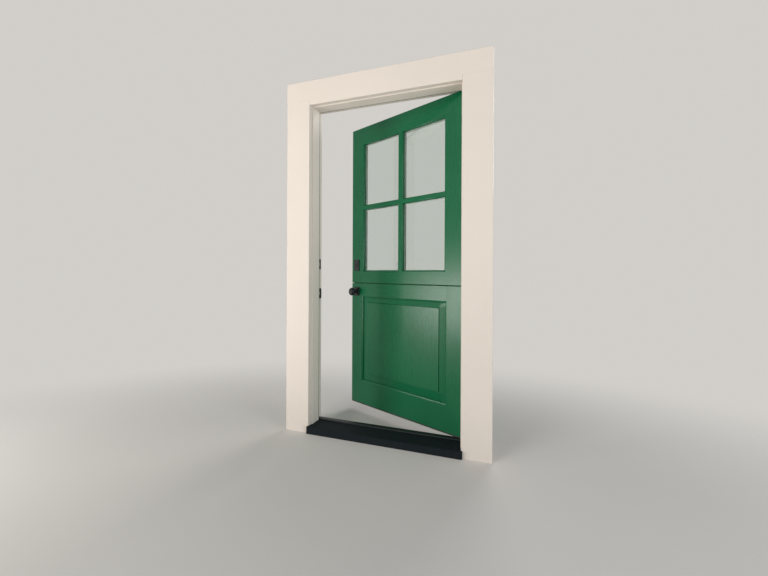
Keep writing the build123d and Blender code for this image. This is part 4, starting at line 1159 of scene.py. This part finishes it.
@dataclass
class Screws:
    """Countersunk screws with a cross recess, each where its solid sits."""

    outline: Outline = (
        (0.0, -0.0220), (0.0006, -0.0216), (0.0020, -0.0175), (0.0020, -0.0024),
        (0.0043, -0.0002), (0.0044, -0.0001), (0.0042, 0.0), (0.0, 0.0),
    )
    slot_width: float = 0.0010
    slot_length: float = 0.0046
    slot_depth: float = 0.0016
    slot_turn: float = 37.0
    steps: int = 20

    def build(self) -> None:
        """Model one screw and set a copy in every place."""
        screw = Bench.turned("screw", self.outline, self.steps)
        for turn in (0.0, math.pi / 2):
            Bench.clear_selection()
            bpy.ops.mesh.primitive_cube_add(
                size=1.0, location=(0.0, 0.0, 0.0), rotation=(0.0, 0.0, turn)
            )
            cutter = bpy.context.object
            cutter.scale = (self.slot_length, self.slot_width, 2 * self.slot_depth)
            bpy.ops.object.transform_apply(location=True, rotation=True, scale=True)
            Bench.finish(screw, "BOOLEAN", object=cutter, operation="DIFFERENCE", solver="EXACT")
            Bench.drop(cutter)
        groups = (
            ("jamb_screws", Body.FRAME, Matrix.Identity(4)),
            ("upper_leaf_screws", Body.UPPER, OPEN_TURN),
            ("lower_leaf_screws", Body.LOWER, OPEN_TURN),
        )
        for node, body, turn in groups:
            copies = [Bench.twin(screw, place) for place in self._places(node, turn)]
            group = Bench.joined(copies, f"cross_{node}")
            settle(group, body, "screw_steel", SCREW_STEEL.material(), node)
        Bench.drop(screw)

    def _places(self, node: str, turn: Matrix) -> list[Matrix]:
        """Find the head and the direction of each screw of a solid.

        Args:
            node: The solid's name.
            turn: How its leaf is turned.

        Returns:
            The placing of each screw, in a fixed order.
        """
        loose = Bench.clean_copy(node, "loose_screws")
        Bench.edit(loose, lambda: bpy.ops.mesh.separate(type="LOOSE"))
        back = turn.inverted()
        found = []
        for part in list(bpy.context.selected_objects):
            points = [back @ vertex.co for vertex in part.data.vertices]
            low, high = extent(points)
            axis = max(range(3), key=lambda index: high[index] - low[index])
            middle = Vector([(low[index] + high[index]) / 2 for index in range(3)])
            widest = max(points, key=lambda point: (point - middle).length_squared)
            outward = 1 if widest[axis] > middle[axis] else -1
            head = middle.copy()
            head[axis] = high[axis] if outward > 0 else low[axis]
            direction = Vector([outward if index == axis else 0 for index in range(3)])
            found.append((tuple(round(value, 5) for value in head), direction))
            Bench.drop(part)
        found.sort(key=lambda place: place[0])
        places = []
        for number, (head, direction) in enumerate(found):
            aim = direction.to_track_quat("Z", "Y").to_matrix().to_4x4()
            slot_turn = Matrix.Rotation(math.radians(self.slot_turn * number), 4, "Z")
            places.append(turn @ Matrix.Translation(head) @ aim @ slot_turn)
        return places


@dataclass
class Glazing:
    """Four sealed units: two sheets of glass with a bright spacer bar round their edge."""

    sheet: float = 0.004
    spacer_width: float = 0.0115
    spacer_inset: float = 0.0003

    def build(self) -> None:
        """Make the four units."""
        for name in ("top_left", "top_right", "bottom_left", "bottom_right"):
            self._unit(name)

    def _unit(self, name: str) -> None:
        """Make one unit in the place of its solid pane.

        Args:
            name: Which of the four lights it fills.
        """
        node = f"glass_{name}"
        low, high = extent([shut_point(v.co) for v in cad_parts[node].data.vertices])
        pane = self._slab(f"sheets_{name}", low, high)
        inner = self._slab("inner_sheet", low, high)
        self._thin(pane, low.y, low.y + self.sheet)
        self._thin(inner, high.y - self.sheet, high.y)
        pane = Bench.joined([pane, inner], f"sheets_{name}")
        pane.data.transform(OPEN_TURN)
        glass = CLEAR_GLASS.material(Grain.UPRIGHT, OPEN_ANGLE)
        settle(pane, Body.UPPER, "glass", glass, node)
        spacer = self._slab(f"spacer_{name}", low, high)
        front = low.y + self.sheet + self.spacer_inset
        back = high.y - self.sheet - self.spacer_inset
        self._thin(spacer, front, back)
        self._frame_out(spacer)
        spacer.data.transform(OPEN_TURN)
        settle(spacer, Body.UPPER, "bolt_steel", SPACER_METAL.material())

    @staticmethod
    def _slab(name: str, low: Vector, high: Vector) -> Piece:
        """Add a box that fills the pane's place in the shut leaf.

        Args:
            name: The object's name.
            low: Lowest corner.
            high: Highest corner.

        Returns:
            The box.
        """
        Bench.clear_selection()
        bpy.ops.mesh.primitive_cube_add(size=1.0, location=(low + high) / 2)
        slab = bpy.context.object
        slab.name = name
        slab.scale = high - low
        bpy.ops.object.transform_apply(location=True, rotation=True, scale=True)
        return slab

    @staticmethod
    def _thin(piece: Piece, front: float, back: float) -> None:
        """Move a box's front and back faces.

        Args:
            piece: The box.
            front: New depth of the outdoor face.
            back: New depth of the indoor face.
        """
        middle = sum(v.co.y for v in piece.data.vertices) / len(piece.data.vertices)
        for vertex in piece.data.vertices:
            vertex.co.y = front if vertex.co.y < middle else back

    def _frame_out(self, piece: Piece) -> None:
        """Cut the middle out of a box, which leaves a bar along each edge.

        Args:
            piece: The box.
        """
        mesh = Bench.opened(piece, "FACE")
        for face in mesh.faces:
            face.select_set(abs(face.normal.y) > AIMED)
        bmesh.update_edit_mesh(piece.data)
        bpy.ops.mesh.inset(thickness=self.spacer_width, use_individual=True)
        bpy.ops.mesh.bridge_edge_loops()
        bpy.ops.mesh.select_all(action="SELECT")
        bpy.ops.mesh.normals_make_consistent(inside=False)
        bpy.ops.object.mode_set(mode="OBJECT")


@dataclass(frozen=True)
class Lamp:
    """A soft rectangular lamp, aimed at a target and unseen by the camera."""

    name: str
    place: Point
    target: Point
    size: tuple[float, float]
    watts: float
    colour: Colour

    def hang(self) -> None:
        """Hang the lamp in its place."""
        data = bpy.data.lights.new(self.name, "AREA")
        data.shape = "RECTANGLE"
        data.size, data.size_y = self.size
        data.energy = self.watts
        data.color = self.colour
        lamp = bpy.data.objects.new(self.name, data)
        lamp.location = self.place
        lamp.visible_camera = False
        direction = Vector(self.target) - Vector(self.place)
        lamp.rotation_euler = direction.to_track_quat("-Z", "Y").to_euler()
        bpy.context.scene.collection.objects.link(lamp)


LAMPS = (
    Lamp(
        "key_lamp",
        place=(-2.1, -4.6, 2.7),
        target=(0.0, 0.1, 1.0),
        size=(2.6, 1.8),
        watts=102.0,
        colour=(1.0, 0.96, 0.90),
    ),
    Lamp(
        "side_lamp",
        place=(-3.3, -2.4, 0.6),
        target=(0.45, 0.02, 0.9),
        size=(1.15, 0.86),
        watts=54.0,
        colour=(1.0, 0.98, 0.95),
    ),
    Lamp(
        "fill_lamp",
        place=(4.5, -2.25, 1.0),
        target=(0.0, 0.0, 1.5),
        size=(2.2, 1.4),
        watts=112.0,
        colour=(0.94, 0.97, 1.0),
    ),
    Lamp(
        "back_lamp",
        place=(0.8, 4.6, 3.6),
        target=(0.0, 0.6, 0.6),
        size=(2.6, 2.6),
        watts=90.0,
        colour=(1.0, 0.98, 0.95),
    ),
)


@dataclass
class Studio:
    """Pale floor and backdrop, soft lamps and the camera at the photographed angle."""

    eye: Point = (0.83498, -2.33231, 1.05475)
    yaw: float = math.radians(20.112)
    roll: float = 0.00424
    lens: float = 18.0
    sensor: float = 36.0
    shift_up: float = -0.0197
    nearest: float = 0.05
    farthest: float = 200.0
    floor_size: float = 60.0
    floor_middle: Point = (0.2, -1.6, 0.0)
    floor_deep: Colour = (0.76, 0.74, 0.71)
    floor_pale: Colour = (0.79, 0.77, 0.74)
    floor_cloud: float = 1.5
    fade_from: float = 1.8
    fade_to: float = 4.0
    backdrop: Colour = (0.64, 0.62, 0.59)
    sky: Colour = (0.92, 0.95, 1.0)
    ambient: float = 0.17

    def build(self) -> None:
        """Make the floor, the light and the camera."""
        self._camera()
        self._floor()
        self._world()
        for lamp in LAMPS:
            lamp.hang()
        bpy.context.scene.view_settings.view_transform = "Standard"

    def _camera(self) -> None:
        """Stand the camera where the photograph was taken from."""
        data = bpy.data.cameras.new("photo_camera")
        data.lens = self.lens
        data.sensor_width = self.sensor
        data.sensor_fit = "HORIZONTAL"
        data.shift_y = self.shift_up
        data.clip_start = self.nearest
        data.clip_end = self.farthest
        forward = Vector((-math.sin(self.yaw), math.cos(self.yaw), 0.0))
        across = Vector((math.cos(self.yaw), math.sin(self.yaw), 0.0))
        upward = Vector((0.0, 0.0, 1.0))
        turned_across = math.cos(self.roll) * across + math.sin(self.roll) * upward
        turned_upward = math.cos(self.roll) * upward - math.sin(self.roll) * across
        placed = Matrix((turned_across, turned_upward, -forward)).transposed().to_4x4()
        placed.translation = Vector(self.eye)
        camera = bpy.data.objects.new("photo_camera", data)
        camera.matrix_world = placed
        bpy.context.scene.collection.objects.link(camera)
        bpy.context.scene.camera = camera

    def _floor(self) -> None:
        """Lay a pale floor that melts into the backdrop far out."""
        Bench.clear_selection()
        bpy.ops.mesh.primitive_plane_add(size=self.floor_size, location=(0.0, 0.0, 0.0))
        floor = bpy.context.object
        floor.name = "studio_floor"
        material, graph = new_material("pale_floor")
        flat = graph.place()
        cloud = graph.noise(flat, self.floor_cloud, detail=3.0)
        shift = tuple(-value for value in self.floor_middle)
        middle = graph.node("ShaderNodeMapping", None, {0: flat, "Location": shift})
        distance = graph.node(
            "ShaderNodeVectorMath", {"operation": "LENGTH"}, {0: middle}, output="Value"
        )
        shade = graph.mix(cloud, self.floor_deep, self.floor_pale)
        far = graph.node("ShaderNodeEmission", None, {"Color": (*self.backdrop, 1.0)})
        lit = graph.node("ShaderNodeBsdfDiffuse", None, {"Color": shade})
        share = distance.ramp(self.fade_from, self.fade_to)
        graph.show(graph.node("ShaderNodeMixShader", None, {0: share, 1: lit, 2: far}))
        floor.data.materials.append(material)

    def _world(self) -> None:
        """Show a pale backdrop, and light from it more softly."""
        world = bpy.data.worlds.new("studio_world")
        bpy.context.scene.world = world
        world.use_nodes = True
        graph = Graph(world.node_tree)
        seen = graph.node("ShaderNodeLightPath", output="Is Camera Ray")
        path = seen.output.node
        glossy = Socket(graph, path.outputs["Is Glossy Ray"])
        through = Socket(graph, path.outputs["Is Transmission Ray"])
        shown = (seen + glossy + through).limited()
        soft = {"Color": (*self.sky, 1.0), "Strength": self.ambient}
        light = graph.node("ShaderNodeBackground", None, soft)
        plain = {"Color": (*self.backdrop, 1.0), "Strength": 1.0}
        pale = graph.node("ShaderNodeBackground", None, plain)
        both = graph.node("ShaderNodeMixShader", None, {0: shown, 1: light, 2: pale})
        graph.node("ShaderNodeOutputWorld", None, {"Surface": both})


def main() -> None:
    """Build the studio and dress every sub-assembly."""
    logging.basicConfig(level=logging.INFO, format="%(message)s")
    Studio().build()
    leaves = (UpperLeaf(), LowerLeaf(), Glazing())
    furniture = (Hinges(), Deadbolt(), Latch(), CouplingBolt(), Screws())
    for part in (Sill(), DoorFrame(), *leaves, *furniture):
        log.info("%s", type(part).__name__)
        part.build()


if __name__ == "__main__":
    main()
